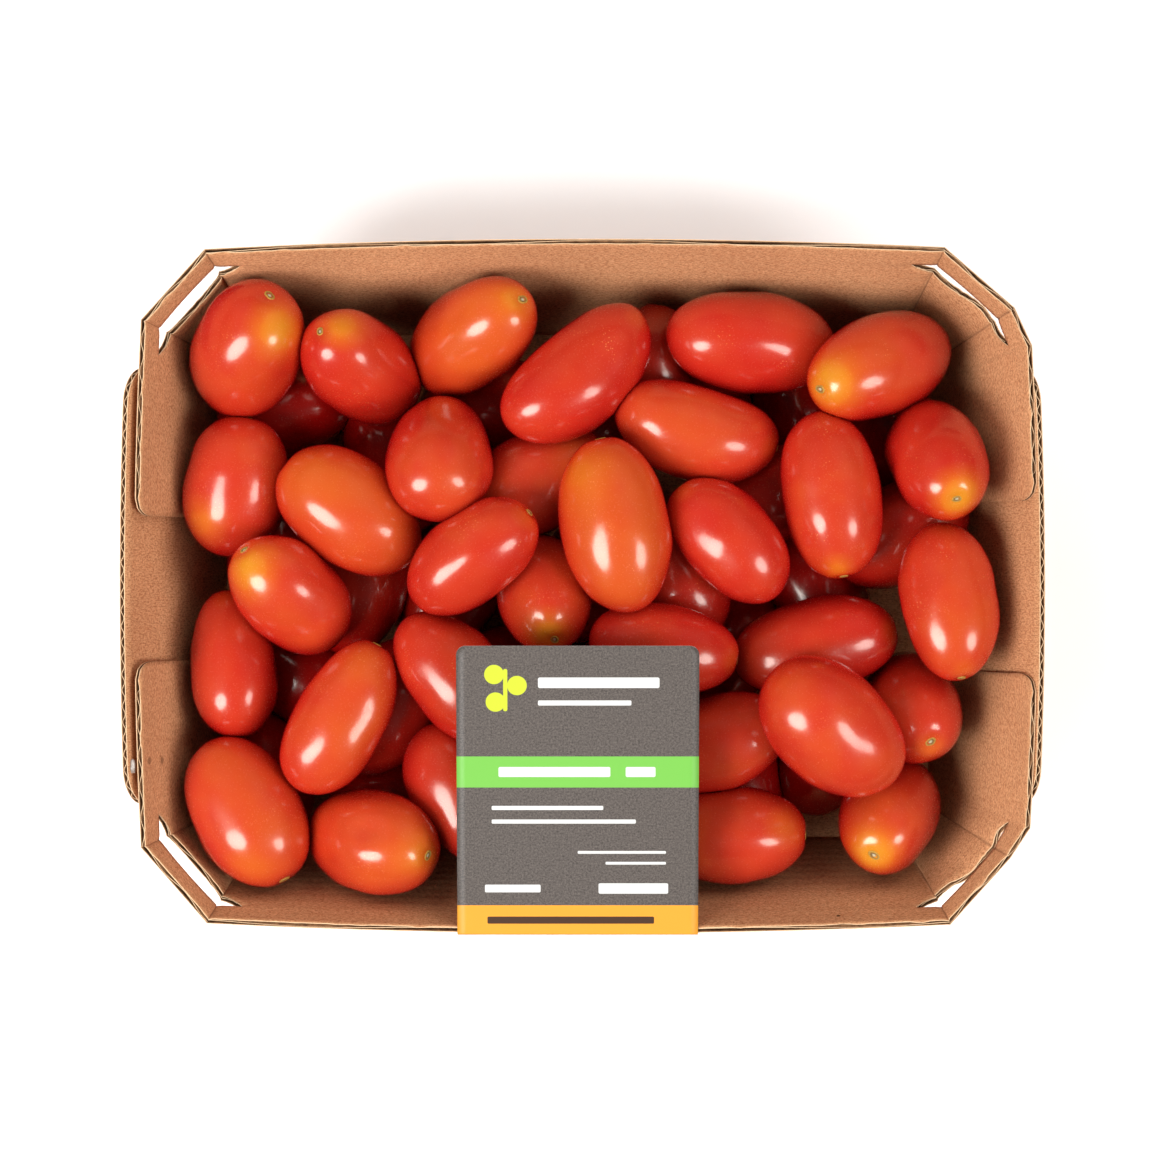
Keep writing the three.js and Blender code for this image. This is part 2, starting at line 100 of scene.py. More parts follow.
# The fruit: the middle's place, the heading and the rise of the stem end, the length and the width,
# how much the stem end narrows and how orange the skin is, from 0 to 1.
Fruit = namedtuple("Fruit", "x y z heading rise length width narrow orange")
FRUIT_ROWS = [
    (-62, 37, 14, 20, 0, 33, 22, 0, 0.1),
    (-50, 29, 14, 110, 0, 33, 22, 0, 0.1),
    (-21, 37, 14, 0, 0, 33, 22, 0, 0.1),
    (-8, 24, 20, 30, 0, 34, 22, 0, 0.2),
    (17, 45, 12, 80, 0, 26, 18, 0, 0.1),
    (-1, 30, 14, 60, 0, 33, 22, 0, 0.2),
    (38, 21, 17, 20, 0, 33, 22, 0, 0.1),
    (52, 36, 13, 100, 0, 30, 20, 0, 0.1),
    (37, 38, 13, 95, 0, 30, 20, 0, 0.1),
    (-44, -3, 15, 70, 0, 33, 22, 0, 0.15),
    (-34, -7, 14, 60, 0, 33, 22, 0, 0.7),
    (-61, -21, 16, 140, 0, 33, 22, 0, 0),
    (-38, -33, 17, 60, 0, 33, 22, 0, 0.1),
    (-41, -45, 14, 0, 0, 33, 22, 0, 0.1),
    (-66, -35, 14, 100, 0, 33, 22, 0, 0.2),
    (48, 3, 17, 110, 0, 33, 22, 0, 0.1),
    (67, 9, 16, 30, 0, 33, 22, 0, 0.1),
    (22, -2, 17, 110, 0, 33, 22, 0, 0.1),
    (35, -12, 12, 60, 0, 33, 22, 0, 0.1),
    (57, -33, 13, 60, 0, 33, 22, 0, 0.1),
    (36, -42, 13, 100, 0, 33, 22, 0, 0.1),
    (10, -20, 14, 40, 0, 33, 22, 0, 0.1),
    (-2, 7, 16, 70, 0, 33, 22, 0, 0.5),
    (-20, -10, 14, 20, 0, 33, 22, 0, 0.2),
    (66, 37, 14, 120, 0, 33, 22, 0, 0.1),
    (-2, -42, 15, 100, 0, 33, 22, 0, 0.1),
    (-67, 10, 14, 75, 0, 33, 22, 0, 0.1),
    (18, -13, 39, -10, 0, 33.5, 19, 0, 0.1),
    (33, -53.5, 30, 0, 0, 34, 21, 0, 0.35),
    (71, -27.5, 27, -67, 60, 32, 21, 0, 0.3),
    (-23.7, 57.3, 28, 34, 43, 37.5, 21.6, 0, 0.8),
    (-74, 53, 33, 65, 41, 34, 24.5, 0, 0.3),
    (-47.7, 47, 30, 139, 51, 35, 22, 0, 0.2),
    (-78.3, 22, 28, 79, 4, 32, 22.6, 0, 0.25),
    (-29.5, 27.5, 37, 90, -54, 35.3, 22.7, 0.14, 0.35),
    (38, 53, 31, -5, -15, 38.5, 23, 0, 0.15),
    (54.5, 19.9, 38, -81, 6, 37.4, 22.2, 0, 0.4),
    (64.3, 48, 29, 203, 39, 39.5, 22.2, 0, 0.35),
    (77.7, 27, 35, -72, 57, 35.5, 21.4, 0, 0.15),
    (79.5, -2.6, 36, -82, 14, 35.7, 20.8, 0, 0.45),
    (51.7, -13, 30, 12, 0, 37.3, 20.4, 0, 0.05),
    (-76.4, -16.8, 29, 96, -10, 33.6, 19.4, 0.14, 0.15),
    (-51.6, -29, 37, 62, 0, 36.3, 20.4, 0.05, 0.45),
    (-73, -49.5, 33, -60, 12, 35.4, 24.2, 0, 0.5),
    (-42.3, -56.5, 33, -11, 38, 33.2, 22.5, 0, 0.65),
    (-25, -20.8, 40, -50, 5, 34, 21, 0, 0.2),
    (-29.7, -48, 34, -60, 5, 34, 20.4, 0, 0.15),
    (29.6, -36, 31, 20, 15, 34.5, 21, 0, 0.2),
    (68.6, -50.6, 26, 240, 54, 33.2, 21.6, 0, 0.4),
    (-2, -28, 42, 15, 0, 33, 21, 0, 0.1),
    (4, -52, 34, 100, 0, 33, 21, 0, 0.1),
    (-8.2, -1.6, 34, -74, 45, 31, 21, 0, 0.35),
    (-63.2, -1.5, 34, 134, 31, 32.7, 21.6, 0, 0.4),
    (31.7, 10, 40, 132, -5, 33, 20.2, 0.04, 0.12),
    (25.5, 34.5, 34, -15, -8, 37.5, 21.6, 0, 0.4),
    (-0.5, 46.7, 38, 42, -13, 40, 21.6, 0.04, 0.05),
    (-23.5, 6.3, 46, 38, 12, 33, 20, 0, 0.3),
    (-50.5, 16.6, 37, 143, 1, 35, 23.8, 0, 0.68),
    (6.8, 13.3, 43, 101, -2, 38.8, 23.2, 0, 0.7),
    (55.6, -30.5, 44, -42, -15, 36.9, 25.2, 0.05, 0.42),
]
FRUIT = [Fruit(*row) for row in FRUIT_ROWS]
# Yellow or orange patches on the skin, by fruit: where each shows from above, from the fruit's middle,
# how far it spreads and how strong it is.
PATCHES = {
    3: (8, 5, 9, 0.2),
    10: (6, 8, 10, 0.3),
    22: (3, 8, 8, 0.3),
    28: (12, 2, 6, 0.3),
    29: (3.5, -9.5, 5, 0.4),
    30: (9.5, 7.5, 6, 0.6),
    31: (7.6, 3.6, 7, 0.75),
    32: (-3.5, 8.6, 5.5, 0.65),
    33: (-7.6, -8.5, 6.5, 0.6),
    36: (1, -17, 4, 0.6),
    37: (-12, -5, 8, 0.85),
    38: (4, -8.6, 6.5, 0.85),
    39: (3, -16, 4, 0.35),
    42: (5, 12, 8, 0.2),
    43: (1, -12.5, 7, 0.3),
    44: (11, -2.5, 6.5, 0.55),
    48: (-5, -8, 7, 0.9),
    51: (1.5, -8.5, 5.5, 0.6),
    52: (-8.5, 5.5, 7, 0.75),
    57: (-12, 8.5, 12, 0.25),
    58: (-8.6, 11.5, 9, 0.5),
    59: (-8, 8, 10, 0.15),
}
# Fruit that are bent like a bean: how far their middle lies to the right of the line to the stem.
BENDS = {55: 2.2, 54: 1.8, 34: 0.4, 42: 0.6, 58: -0.5}
# Sunken places in the skin: where each shows from above, from the fruit's middle, its reach and depth.
DIMPLES = {44: (-1.2, 3.2, 3.2, 1.1)}
LOWEST = 27  # rows of the lowest layers
# How the heap settles: rounds, the last of which let go of the places above, the share of two radii at
# which fruit touch, the gap to the walls, and how much of an overlap with a wall one round takes away.
SETTLE_ROUNDS, SETTLE_FREE, SQUEEZE, WALL_GAP, WALL_PUSH = 60, 10, 0.96, 0.7, 0.8
PUSH = {"alike": 0.4, "lower": 0.65, "upper": 0.15}  # the share of an overlap that each fruit gives way
DRAW = {"lower": (0.05, 0.02), "upper": (0.15, 0.1)}  # how strongly its place draws it, level and upright
# The corner panels as the heap meets them: their normal from above, their distance from the middle at
# the base and how far they run out with the height.
CORNER_NORMAL, CORNER_REACH, CORNER_RUN = (0.72, 0.694), 92.2, 1 / 3
TOUCH_FAR = 42.0  # no two fruit touch whose middles are farther apart


# ---- small helpers ----


def mix(a, b, t):
    return a + (b - a) * t


def new_object(name, mesh):
    obj = bpy.data.objects.new(name, mesh)
    bpy.context.scene.collection.objects.link(obj)
    return obj


def mesh_from(name, points, faces, smooth=True):
    """A mesh from millimetre points and faces."""
    mesh = bpy.data.meshes.new(name)
    mesh.from_pydata([tuple(float(c) * MM for c in p) for p in points], [], faces)
    mesh.validate()
    mesh.polygons.foreach_set("use_smooth", [smooth] * len(mesh.polygons))
    mesh.update()
    return mesh


def set_attributes(mesh, **values):
    """Gives each point of a mesh one number of each kind."""
    for name, numbers in values.items():
        mesh.attributes.new(name, "FLOAT", "POINT").data.foreach_set("value", [float(v) for v in numbers])


def cleaned(obj, merge=0.0):
    """The object with near points merged, loose ones gone and its faces turned outwards."""
    bm = bmesh.new()
    bm.from_mesh(obj.data)
    if merge:
        bmesh.ops.remove_doubles(bm, verts=bm.verts, dist=merge)
    bmesh.ops.delete(bm, geom=[v for v in bm.verts if not v.link_faces], context="VERTS")
    bmesh.ops.recalc_face_normals(bm, faces=bm.faces)
    bm.to_mesh(obj.data)
    bm.free()
    return obj


def apply_modifiers(obj):
    depsgraph = bpy.context.evaluated_depsgraph_get()
    mesh = bpy.data.meshes.new_from_object(obj.evaluated_get(depsgraph))
    old = obj.data
    obj.modifiers.clear()
    obj.data = mesh
    bpy.data.meshes.remove(old)


def joined(name, objects):
    """One object from several, with their attributes and materials kept."""
    with bpy.context.temp_override(
        active_object=objects[0], object=objects[0], selected_editable_objects=objects
    ):
        bpy.ops.object.join()
    objects[0].name = name
    objects[0].data.name = name
    return objects[0]


def ball_faces(first, around, down):
    """The faces of a ball whose points run in rings from one pole to the other."""
    faces = []
    rings = [first + 1 + i * around for i in range(down - 1)]
    last = first + 1 + (down - 1) * around
    for j in range(around):
        k = (j + 1) % around
        faces.append((first, rings[0] + k, rings[0] + j))
        faces.append((last, rings[-1] + j, rings[-1] + k))
        for lower, upper in zip(rings, rings[1:]):
            faces.append((lower + j, lower + k, upper + k, upper + j))
    return faces


# ---- node helpers ----


class Nodes:
    """A material's node tree, with short calls for the nodes used here."""

    def __init__(self, name):
        self.material = bpy.data.materials.new(name)
        self.material.use_nodes = True
        self.tree = self.material.node_tree
        self.shader = self.tree.nodes["Principled BSDF"]

    def link(self, value, socket):
        """Joins an output to a socket, or sets the socket's own value."""
        if hasattr(value, "is_output"):
            self.tree.links.new(value, socket)
        else:
            socket.default_value = value

    def add(self, kind, inputs=(), **settings):
        node = self.tree.nodes.new(kind)
        for key, value in settings.items():
            setattr(node, key, value)
        for key, value in dict(inputs).items():
            self.link(value, node.inputs[key])
        return node

    def attribute(self, name):
        return self.add("ShaderNodeAttribute", attribute_name=name).outputs["Fac"]

    def position(self):
        return self.add("ShaderNodeTexCoord").outputs["Object"]

    def math(self, operation, a, b=0.0, clamp=False):
        node = self.add("ShaderNodeMath", operation=operation, use_clamp=clamp)
        self.link(a, node.inputs[0])
        self.link(b, node.inputs[1])
        return node.outputs[0]

    def plus(self, a, b, clamp=False):
        return self.math("ADD", a, b, clamp)

    def times(self, a, b):
        return self.math("MULTIPLY", a, b)

    def vector(self, operation, a, b=(0, 0, 0)):
        node = self.add("ShaderNodeVectorMath", operation=operation)
        self.link(a, node.inputs[0])
        self.link(b, node.inputs[1])
        return node.outputs["Value" if operation == "LENGTH" else "Vector"]

    def combine(self, x, y=0.0, z=0.0):
        return self.add("ShaderNodeCombineXYZ", {"X": x, "Y": y, "Z": z}).outputs[0]

    def noise(self, vector, scale, detail=2.0, roughness=0.5):
        inputs = {"Vector": vector, "Scale": scale, "Detail": detail, "Roughness": roughness}
        return self.add("ShaderNodeTexNoise", inputs).outputs["Fac"]

    def voronoi(self, vector, scale):
        node = self.add("ShaderNodeTexVoronoi", {"Vector": vector, "Scale": scale})
        return node.outputs["Distance"]

    def remap(self, value, low, high, to_low=0.0, to_high=1.0):
        inputs = {"Value": value, "From Min": low, "From Max": high, "To Min": to_low, "To Max": to_high}
        return self.add("ShaderNodeMapRange", inputs).outputs["Result"]

    def paint(self, base, colour, value, low, high, to_low=0.0, to_high=1.0):
        """The base with a colour over it, as strongly as the value tells."""
        return self.blend(self.remap(value, low, high, to_low, to_high), base, colour)

    def blend(self, factor, a, b, blend_type="MIX"):
        node = self.add("ShaderNodeMix", data_type="RGBA", blend_type=blend_type)
        self.link(factor, node.inputs[0])
        for value, socket in ((a, node.inputs[6]), (b, node.inputs[7])):
            self.link(value if hasattr(value, "is_output") else (*value, 1.0), socket)
        return node.outputs[2]

    def bump(self, height, strength, distance):
        inputs = {"Height": height, "Strength": strength, "Distance": distance}
        return self.add("ShaderNodeBump", inputs).outputs["Normal"]

    def finish(self, color, roughness, normal=None, **shader):
        self.link(color if hasattr(color, "is_output") else (*color, 1.0), self.shader.inputs["Base Color"])
        self.link(roughness, self.shader.inputs["Roughness"])
        if normal is not None:
            self.link(normal, self.shader.inputs["Normal"])
        for key, value in shader.items():
            self.shader.inputs[key.replace("_", " ")].default_value = value
        return self.material


def srgb(red, green, blue):
    """A screen colour from 0 to 255 as the linear one that a shader takes."""
    shares = [c / 255 for c in (red, green, blue)]
    return tuple(((c + 0.055) / 1.055) ** 2.4 if c > 0.04 else c / 12.92 for c in shares)


# ---- materials ----

SKIN_DEEP = srgb(182, 40, 26)
SKIN_RED = srgb(189, 58, 31)
SKIN_ORANGE = srgb(196, 86, 31)
SKIN_AMBER = srgb(200, 98, 28)
SKIN_YELLOW = srgb(204, 136, 32)
SKIN_PORE = srgb(240, 156, 96)
SKIN_EDGE_SHADE = (0.88, 0.05, 0.3)  # painted shade at the fruit's edges: what is left of each colour where the skin turns away from the camera
SKIN_BURIED_SHADE = (0.6, 0.1, 0.16)  # painted shade low down in the heap, between red neighbours
BOARD_LIGHT = srgb(226, 168, 120)
BOARD_DARK = srgb(140, 86, 53)
BOARD_RED = srgb(184, 119, 77)
BOARD_PALE = srgb(212, 160, 116)
BOARD_SPECK = srgb(96, 58, 36)
BOARD_CUT = srgb(236, 204, 164)
BOARD_MARKS = [(-93.5, -37.9), (-91.4, -38.1)]  # two short scratches, seen from above


def board_material(name, paleness):
    """Brown liner: speckled fibres, faint lines along the flutes, and creases pressed in, with painted shade
    along the folds, at the foot of the walls and along the folds that run on from the slots' ends.
    """
    n = Nodes(name)
    place = n.position()
    across = n.attribute("across")
    along = n.attribute("along")
    fibre_place = n.combine(n.times(along, 0.3), across, n.attribute("sheet"))
    grain = n.noise(place, 2100.0, 3.0, 0.65)
    mottle = n.noise(place, 620.0, 4.0, 0.65)
    cloud = n.noise(place, 45.0, 2.0, 0.5)
    fibres = n.noise(fibre_place, 3.0, 3.0, 0.7)
    specks = n.noise(place, 2600.0, 1.0, 0.5)
    base = n.blend(n.remap(grain, 0.32, 0.68), BOARD_DARK, BOARD_LIGHT)
    base = n.paint(base, BOARD_RED, mottle, 0.35, 0.7, 0.0, 0.45)
    base = n.paint(base, BOARD_DARK, cloud, 0.35, 0.7, 0.0, 0.3)
    base = n.paint(base, BOARD_PALE, fibres, 0.42, 0.66, 0.0, 0.7)
    base = n.paint(base, BOARD_DARK, fibres, 0.32, 0.5, 0.55, 0.0)
    base = n.paint(base, BOARD_SPECK, specks, 0.66, 0.76, 0.0, 0.6)
    for x, y in BOARD_MARKS:
        away = n.vector("MULTIPLY", n.vector("SUBTRACT", place, (x * MM, y * MM, 0)), (3.0, 1.0, 0))
        base = n.blend(n.remap(n.vector("LENGTH", away), 0.0006, 0.0011, 0.6, 0.0), base, BOARD_SPECK)
    wave = n.math("SINE", n.times(across, 2 * math.pi / FLUTE))
    lines = n.times(n.remap(wave, -1.0, 1.0), n.remap(cloud, 0.35, 0.75, 0.2, 1.0))
    base = n.blend(n.times(lines, 0.12), base, BOARD_RED)
    # painted shade along the folds and at the foot of the walls, and up to half as strong along the folds
    # that run on from the slots' ends
    crease = n.remap(n.attribute("crease"), 0.12, 0.5, 1.0, 0.0)
    crease = n.math("MAXIMUM", crease, n.remap(n.attribute("slot_fold"), 0.1, 1.2, 0.0, 0.5))
    base = n.blend(n.times(crease, 0.4), base, BOARD_SPECK)
    if paleness:
        base = n.blend(paleness, base, BOARD_CUT)
    height = n.plus(n.times(grain, 0.5), n.times(wave, 0.25))
    height = n.math("SUBTRACT", height, n.times(crease, 1.2))
    rough = n.remap(mottle, 0.3, 0.7, 0.82, 0.95)
    return n.finish(base, rough, n.bump(height, 0.4, 0.00016), Specular_IOR_Level=0.25)


def medium_material():
    """The darker fluted sheet and the hidden sides of the liners."""
    n = Nodes("board_flutes")
    place = n.position()
    mottle = n.noise(place, 600.0, 3.0, 0.6)
    base = n.blend(n.remap(mottle, 0.3, 0.7), srgb(80, 54, 36), srgb(140, 100, 68))
    return n.finish(base, 0.92, n.bump(mottle, 0.3, 0.0001), Specular_IOR_Level=0.2)


def skin_material():
    """Glossy skin, redder or more orange from one fruit to the next, with a soft yellow patch, pale pores
    and a few fine scratches, darkened by painted shade where it turns away from the camera and low down in
    the heap."""
    n = Nodes("tomato_skin")
    tone = n.attribute("tone")
    yellow = n.attribute("yellow")
    seed = n.attribute("seed")
    place = n.vector("ADD", n.position(), n.combine(seed, n.times(seed, 1.7), seed))
    cloud = n.noise(place, 60.0, 3.0, 0.55)
    fine = n.noise(place, 420.0, 4.0, 0.6)
    ripeness = n.plus(tone, n.remap(cloud, 0.3, 0.7, -0.24, 0.24), clamp=True)
    base = n.blend(n.remap(ripeness, 0.0, 0.4), SKIN_DEEP, SKIN_RED)
    base = n.paint(base, SKIN_ORANGE, ripeness, 0.35, 1.0)
    uneven = n.plus(n.remap(fine, 0.3, 0.7, -0.05, 0.05), n.remap(cloud, 0.3, 0.7, -0.1, 0.1))
    patch = n.times(yellow, n.plus(uneven, 1.0))
    base = n.paint(base, SKIN_AMBER, patch, 0.08, 0.5)
    base = n.paint(base, SKIN_YELLOW, patch, 0.4, 0.95)
    sparse = n.remap(n.noise(place, 110.0, 2.0), 0.53, 0.7)
    pores = n.times(n.remap(n.voronoi(place, 1250.0), 0.1, 0.2, 1.0, 0.0), sparse)
    base = n.blend(n.times(pores, 0.6), base, SKIN_PORE)
    stretched = n.vector("MULTIPLY", place, (1.0, 0.16, 1.0))
    scratches = n.remap(n.voronoi(stretched, 330.0), 0.0, 0.05, 1.0, 0.0)
    marks = n.times(scratches, n.remap(cloud, 0.54, 0.66))
    base = n.blend(n.times(marks, 0.3), base, SKIN_PORE)
    # painted shade: the skin is drawn darker and more crimson where it turns away from the camera
    facing = n.add("ShaderNodeLayerWeight", {"Blend": 0.5}).outputs["Facing"]
    base = n.blend(n.remap(facing, 0.15, 0.95), base, SKIN_EDGE_SHADE, "MULTIPLY")
    # painted shade: the lower a point of skin lies in the heap, the darker it is drawn
    base = n.blend(n.attribute("buried"), base, SKIN_BURIED_SHADE, "MULTIPLY")
    grain = n.noise(place, 2400.0, 2.0, 0.6)
    rough = n.plus(n.remap(grain, 0.3, 0.7, 0.16, 0.3), n.times(marks, 0.2))
    height = n.plus(n.times(fine, 0.5), n.times(grain, 0.32))
    height = n.math("SUBTRACT", height, n.times(pores, 0.2))
    return n.finish(
        base,
        rough,
        n.bump(height, 0.14, 0.00012),
        Subsurface_Weight=0.1,
        Subsurface_Radius=(0.005, 0.001, 0.0006),
        Subsurface_Scale=0.5,
        IOR=1.57,
        Specular_Tint=(1.0, 0.95, 0.82, 1.0),
        Coat_Weight=0.35,
        Coat_Roughness=0.12,
    )


def scar_material():
    """Corky grey in the middle, a brown groove round it and an ochre rim."""
    n = Nodes("stem_scar")
    ring = n.attribute("ring")
    grain = n.noise(n.position(), 2200.0, 3.0, 0.6)
    base = n.blend(n.remap(ring, 0.2, 0.45), srgb(196, 184, 150), srgb(112, 82, 40))
    base = n.paint(base, srgb(178, 134, 52), ring, 0.55, 0.85)
    base = n.paint(base, srgb(92, 70, 36), grain, 0.45, 0.7, 0.0, 0.5)
    return n.finish(base, 0.75, n.bump(grain, 0.5, 0.0001))


# ---- the tray ----


def along_wall(name_a, name_b, t, z, bow):
    """A point on the outer face between two creases, at height z."""
    rise = z / HEIGHT
    base = np.array([mix(BASE[name_a][k], BASE[name_b][k], t) for k in (0, 1)])
    a, b = np.array(RIM[name_a]), np.array(RIM[name_b])
    run = b - a
    outwards = np.array([-run[1], run[0]]) / np.hypot(*run)
    rim = mix(a, b, t) + outwards * bow * 4 * t * (1 - t)
    return np.array([*mix(base, rim, rise), z])


FLAP_ROUND = (3.8, 6.5)  # a flap end's round upper corner, along the wall and down it
FLAP_CUT_FROM, FLAP_CUT_BACK = HEIGHT / 2, 5.8  # below this height its end is cut back, by so much


def end_crease(side):
    """The rim's crease at the back end of an end wall."""
    return RIM["right_back_bend"] if side > 0 else RIM["left_back_flap"]


def flap_end(side, which, z):
    """Where a glued flap ends across the tray at height z: cut back low down and round at the top."""
    back = which == "back"
    end = FLAP_GAP[side][0 if back else 1]
    sign = 1 if back else -1
    if z < FLAP_CUT_FROM:
        return end + sign * FLAP_CUT_BACK * (1 - z / FLAP_CUT_FROM)
    into = max(0.0, z - (HEIGHT - FLAP_ROUND[1])) / FLAP_ROUND[1]
    return end + sign * FLAP_ROUND[0] * (1 - math.sqrt(max(0.0, 1 - into**2)))


# Each kind of panel: its bow, its count of columns and the slope of the flutes across it, in degrees.
CHAMFER_SLOPE = 15.5
LONG = (SIDE_BOW - 0.02, 110, 0)
END, END_BACK = (END_BOW, 34, 31), (END_BOW, 34, -31)
CHAMFER, CHAMFER_BACK = (0, 22, CHAMFER_SLOPE), (0, 22, -CHAMFER_SLOPE)
BEND, BEND_BACK = (0, 8, 24), (0, 8, -24)
# Each half of the walls, from flap end to flap end: the creases in order, and the panels between them.
HALVES = {
    "back": (
        ["left_front_flap", "left_back_flap", "back_left", "back_right"]
        + ["right_back_flap", "right_back_bend", "right_front_bend"],
        [END_BACK, CHAMFER_BACK, LONG, CHAMFER, BEND, END],
    ),
    "front": (
        ["right_back_bend", "right_front_bend", "right_front_flap", "front_right"]
        + ["front_left", "left_front_flap", "left_back_flap"],
        [END_BACK, BEND_BACK, CHAMFER_BACK, LONG, CHAMFER, END],
    ),
}


def end_share(side, which, crease_names, z):
    """How far along the end wall from its first crease the flap ends, from 0 to 1."""
    y = flap_end(side, which, z)
    first = along_wall(*crease_names, 0.0, z, 0.0)[1]
    last = along_wall(*crease_names, 1.0, z, 0.0)[1]
    return (y - first) / (last - first)


def wall_columns(half):
    """The columns of one half of the walls: a function from height to point for each, its place along
    the blank, the nearest crease's distance and the slope of the flutes."""
    names, panels = HALVES[half]
    columns = []
    start = 0.0
    for k, (bow, count, slope) in enumerate(panels):
        pair = (names[k], names[k + 1])
        first, last = k == 0, k == len(panels) - 1
        length = math.dist(RIM[pair[0]], RIM[pair[1]])
        for i in range(count + (1 if last else 0)):
            t = i / count

            def point(z, pair=pair, t=t, bow=bow, first=first, last=last):
                side = 1 if "right" in pair[0] and "right" in pair[1] else -1
                if first:
                    t = mix(end_share(side, half, pair, z), 1.0, t)
                elif last:
                    t = mix(0.0, end_share(side, half, pair, z), t)
                return along_wall(*pair, t, z, bow)

            to_crease = FOLD_FAR
            if "bend" not in pair[0] and not first:
                to_crease = min(to_crease, t * length)
            if "bend" not in pair[1] and not last:
                to_crease = min(to_crease, (1 - t) * length)
            columns.append({"point": point, "slope": slope, "crease": to_crease, "panel": k})
    for before, here in zip([None] + columns, columns):
        if before is not None:
            start += math.dist(before["point"](HEIGHT), here["point"](HEIGHT))
        here["along"] = start
    return columns


def slot_reach(columns):
    """Each column's share of the way along the slot that it is in, or None, and the first and last
    column of each slot by the number of its chamfer."""
    shares, stretches = [None] * len(columns), {}
    rims = [c["point"](SLOT_TOP) for c in columns]
    for k in sorted({c["panel"] for c in columns if abs(c["slope"]) == CHAMFER_SLOPE}):
        inside = [i for i, c in enumerate(columns) if c["panel"] == k]
        first, last = inside[0], inside[-1] + 1
        lo, hi = first, last
        while lo > 0 and math.dist(rims[lo][:2], rims[first][:2]) < SLOT_RUN:
            lo -= 1
        while hi < len(columns) - 1 and math.dist(rims[hi][:2], rims[last][:2]) < SLOT_RUN:
            hi += 1
        for i in range(lo, hi + 1):
            shares[i] = (i - lo) / (hi - lo)
        stretches[k] = (lo, hi)
    return shares, stretches


LOW_LEVELS, HIGH_LEVELS = 16, 6  # rows of faces below and above the slots
SLOT_ARCH, SLOT_BLUNT = 1.2, 5  # how far a slot's upper edge is arched, and how blunt its ends are
RIM_WANDER = 61.0  # the waves of the fluted sheet along the long rims, where it runs between two flutes
FOLD_FAR, BASE_FOLD = 4.0, 0.2  # how far from a fold its distance is still told, and its least over the base
# Small tears of the front rim: where along it, how far they reach and how deep they are.
RIM_TEARS = [(56.6, 1.0, 0.7), (-41.0, 1.6, 0.25), (12.0, 2.4, 0.2)]


def slot_edges(share):
    """The heights of a slot's lower and upper edges, at a share of the way along it."""
    if share is None:
        return SLOT_TOP - SLOT_TIP, SLOT_TOP
    wide = 1 - abs(2 * share - 1) ** SLOT_BLUNT
    arch = SLOT_ARCH * (math.sin(math.pi * share) - 0.5) * wide
    return SLOT_TOP - mix(SLOT_TIP, SLOT_DEPTH, wide), SLOT_TOP + arch


def wall_sheet(columns, shares):
    """Outer-face points of one half of the walls, columns by levels, with the row of the slot between
    the lower and the upper levels, and which columns a slot opens."""
    grid, opened = [], []
    for column, share in zip(columns, shares):
        low, high = slot_edges(share)
        heights = [mix(0.0, low, (j / LOW_LEVELS) ** 0.9) for j in range(LOW_LEVELS + 1)]
        heights += [mix(high, HEIGHT, j / HIGH_LEVELS) for j in range(HIGH_LEVELS + 1)]
        grid.append([column["point"](z) for z in heights])
        opened.append(share is not None and 0 < share < 1)
    return np.array(grid), opened


def grid_normals(grid):
    """Unit normals of a grid of points, pointing out of the tray."""
    du = np.gradient(grid, axis=0)
    dv = np.gradient(grid, axis=1)
    normal = np.cross(du, dv)
    normal /= np.maximum(np.linalg.norm(normal, axis=2, keepdims=True), 1e-9)
    middle = grid * np.array([1, 1, 0])
    outwards = np.sign(np.sum(normal * middle, axis=2, keepdims=True))
    return normal * outwards


def sheet_object(name, grid, opened, attributes, inwards, materials, thickness=LINER):
    """A thin sheet on a grid of points, thickened to one side, with faces left out at the slots of the
    opened columns. The materials are for its face, its hidden side and its cut edges."""
    columns, levels = grid.shape[:2]
    size = columns * levels
    back = grid + grid_normals(grid) * (-thickness if inwards else thickness)
    quads = []
    for i in range(columns - 1):
        for j in range(levels - 1):
            if opened and j == LOW_LEVELS and (opened[i] or opened[i + 1]):
                continue
            a, b = i * levels + j, (i + 1) * levels + j
            quads.append((a, b, b + 1, a + 1))
    sides = [side for quad in quads for side in zip(quad, quad[1:] + quad[:1])]
    shared = set(sides)
    rims = [(v, u, u + size, v + size) for u, v in sides if (v, u) not in shared]
    backs = [tuple(k + size for k in reversed(quad)) for quad in quads]
    points = np.concatenate([grid.reshape(-1, 3), back.reshape(-1, 3)])
    mesh = mesh_from(name, points, quads + backs + rims)
    set_attributes(mesh, **{key: np.tile(np.ravel(values), 2) for key, values in attributes.items()})
    obj = new_object(name, mesh)
    for material in materials:
        mesh.materials.append(material)
    for k, polygon in enumerate(mesh.polygons):
        polygon.material_index = min(2, k // len(quads))
        polygon.use_smooth = k < 2 * len(quads)
    return cleaned(obj)


def wall_attributes(columns, grid, sheet, slot_fold):
    """Where each point lies along and across the flutes, how far it is from a fold, and how strongly
    the fold that runs on from a slot's end shows there."""
    slope, along, crease = (np.array([[c[key]] for c in columns]) for key in ("slope", "along", "crease"))
    slope = np.radians(slope)
    up = np.linalg.norm(grid - grid[:, -1:], axis=2)
    from_base = grid[:, :, 2] + BASE_FOLD
    return {
        "along": along * np.cos(slope) + up * np.sin(slope),
        "across": up * np.cos(slope) - along * np.sin(slope),
        "crease": np.minimum(np.minimum(crease, from_base), FOLD_FAR),
        "sheet": up * 0 + sheet,
        "slot_fold": slot_fold,
    }


STRIP_ROWS, STRIP_SINK = 3, 0.08  # rows of faces down a strip of flutes, and how far it is sunk
STRIP_STEP = 0.4  # between its points along the edge, or less where its waves are short
STRIP_SWING = 0.94  # the share of the room between the liners that the waves take


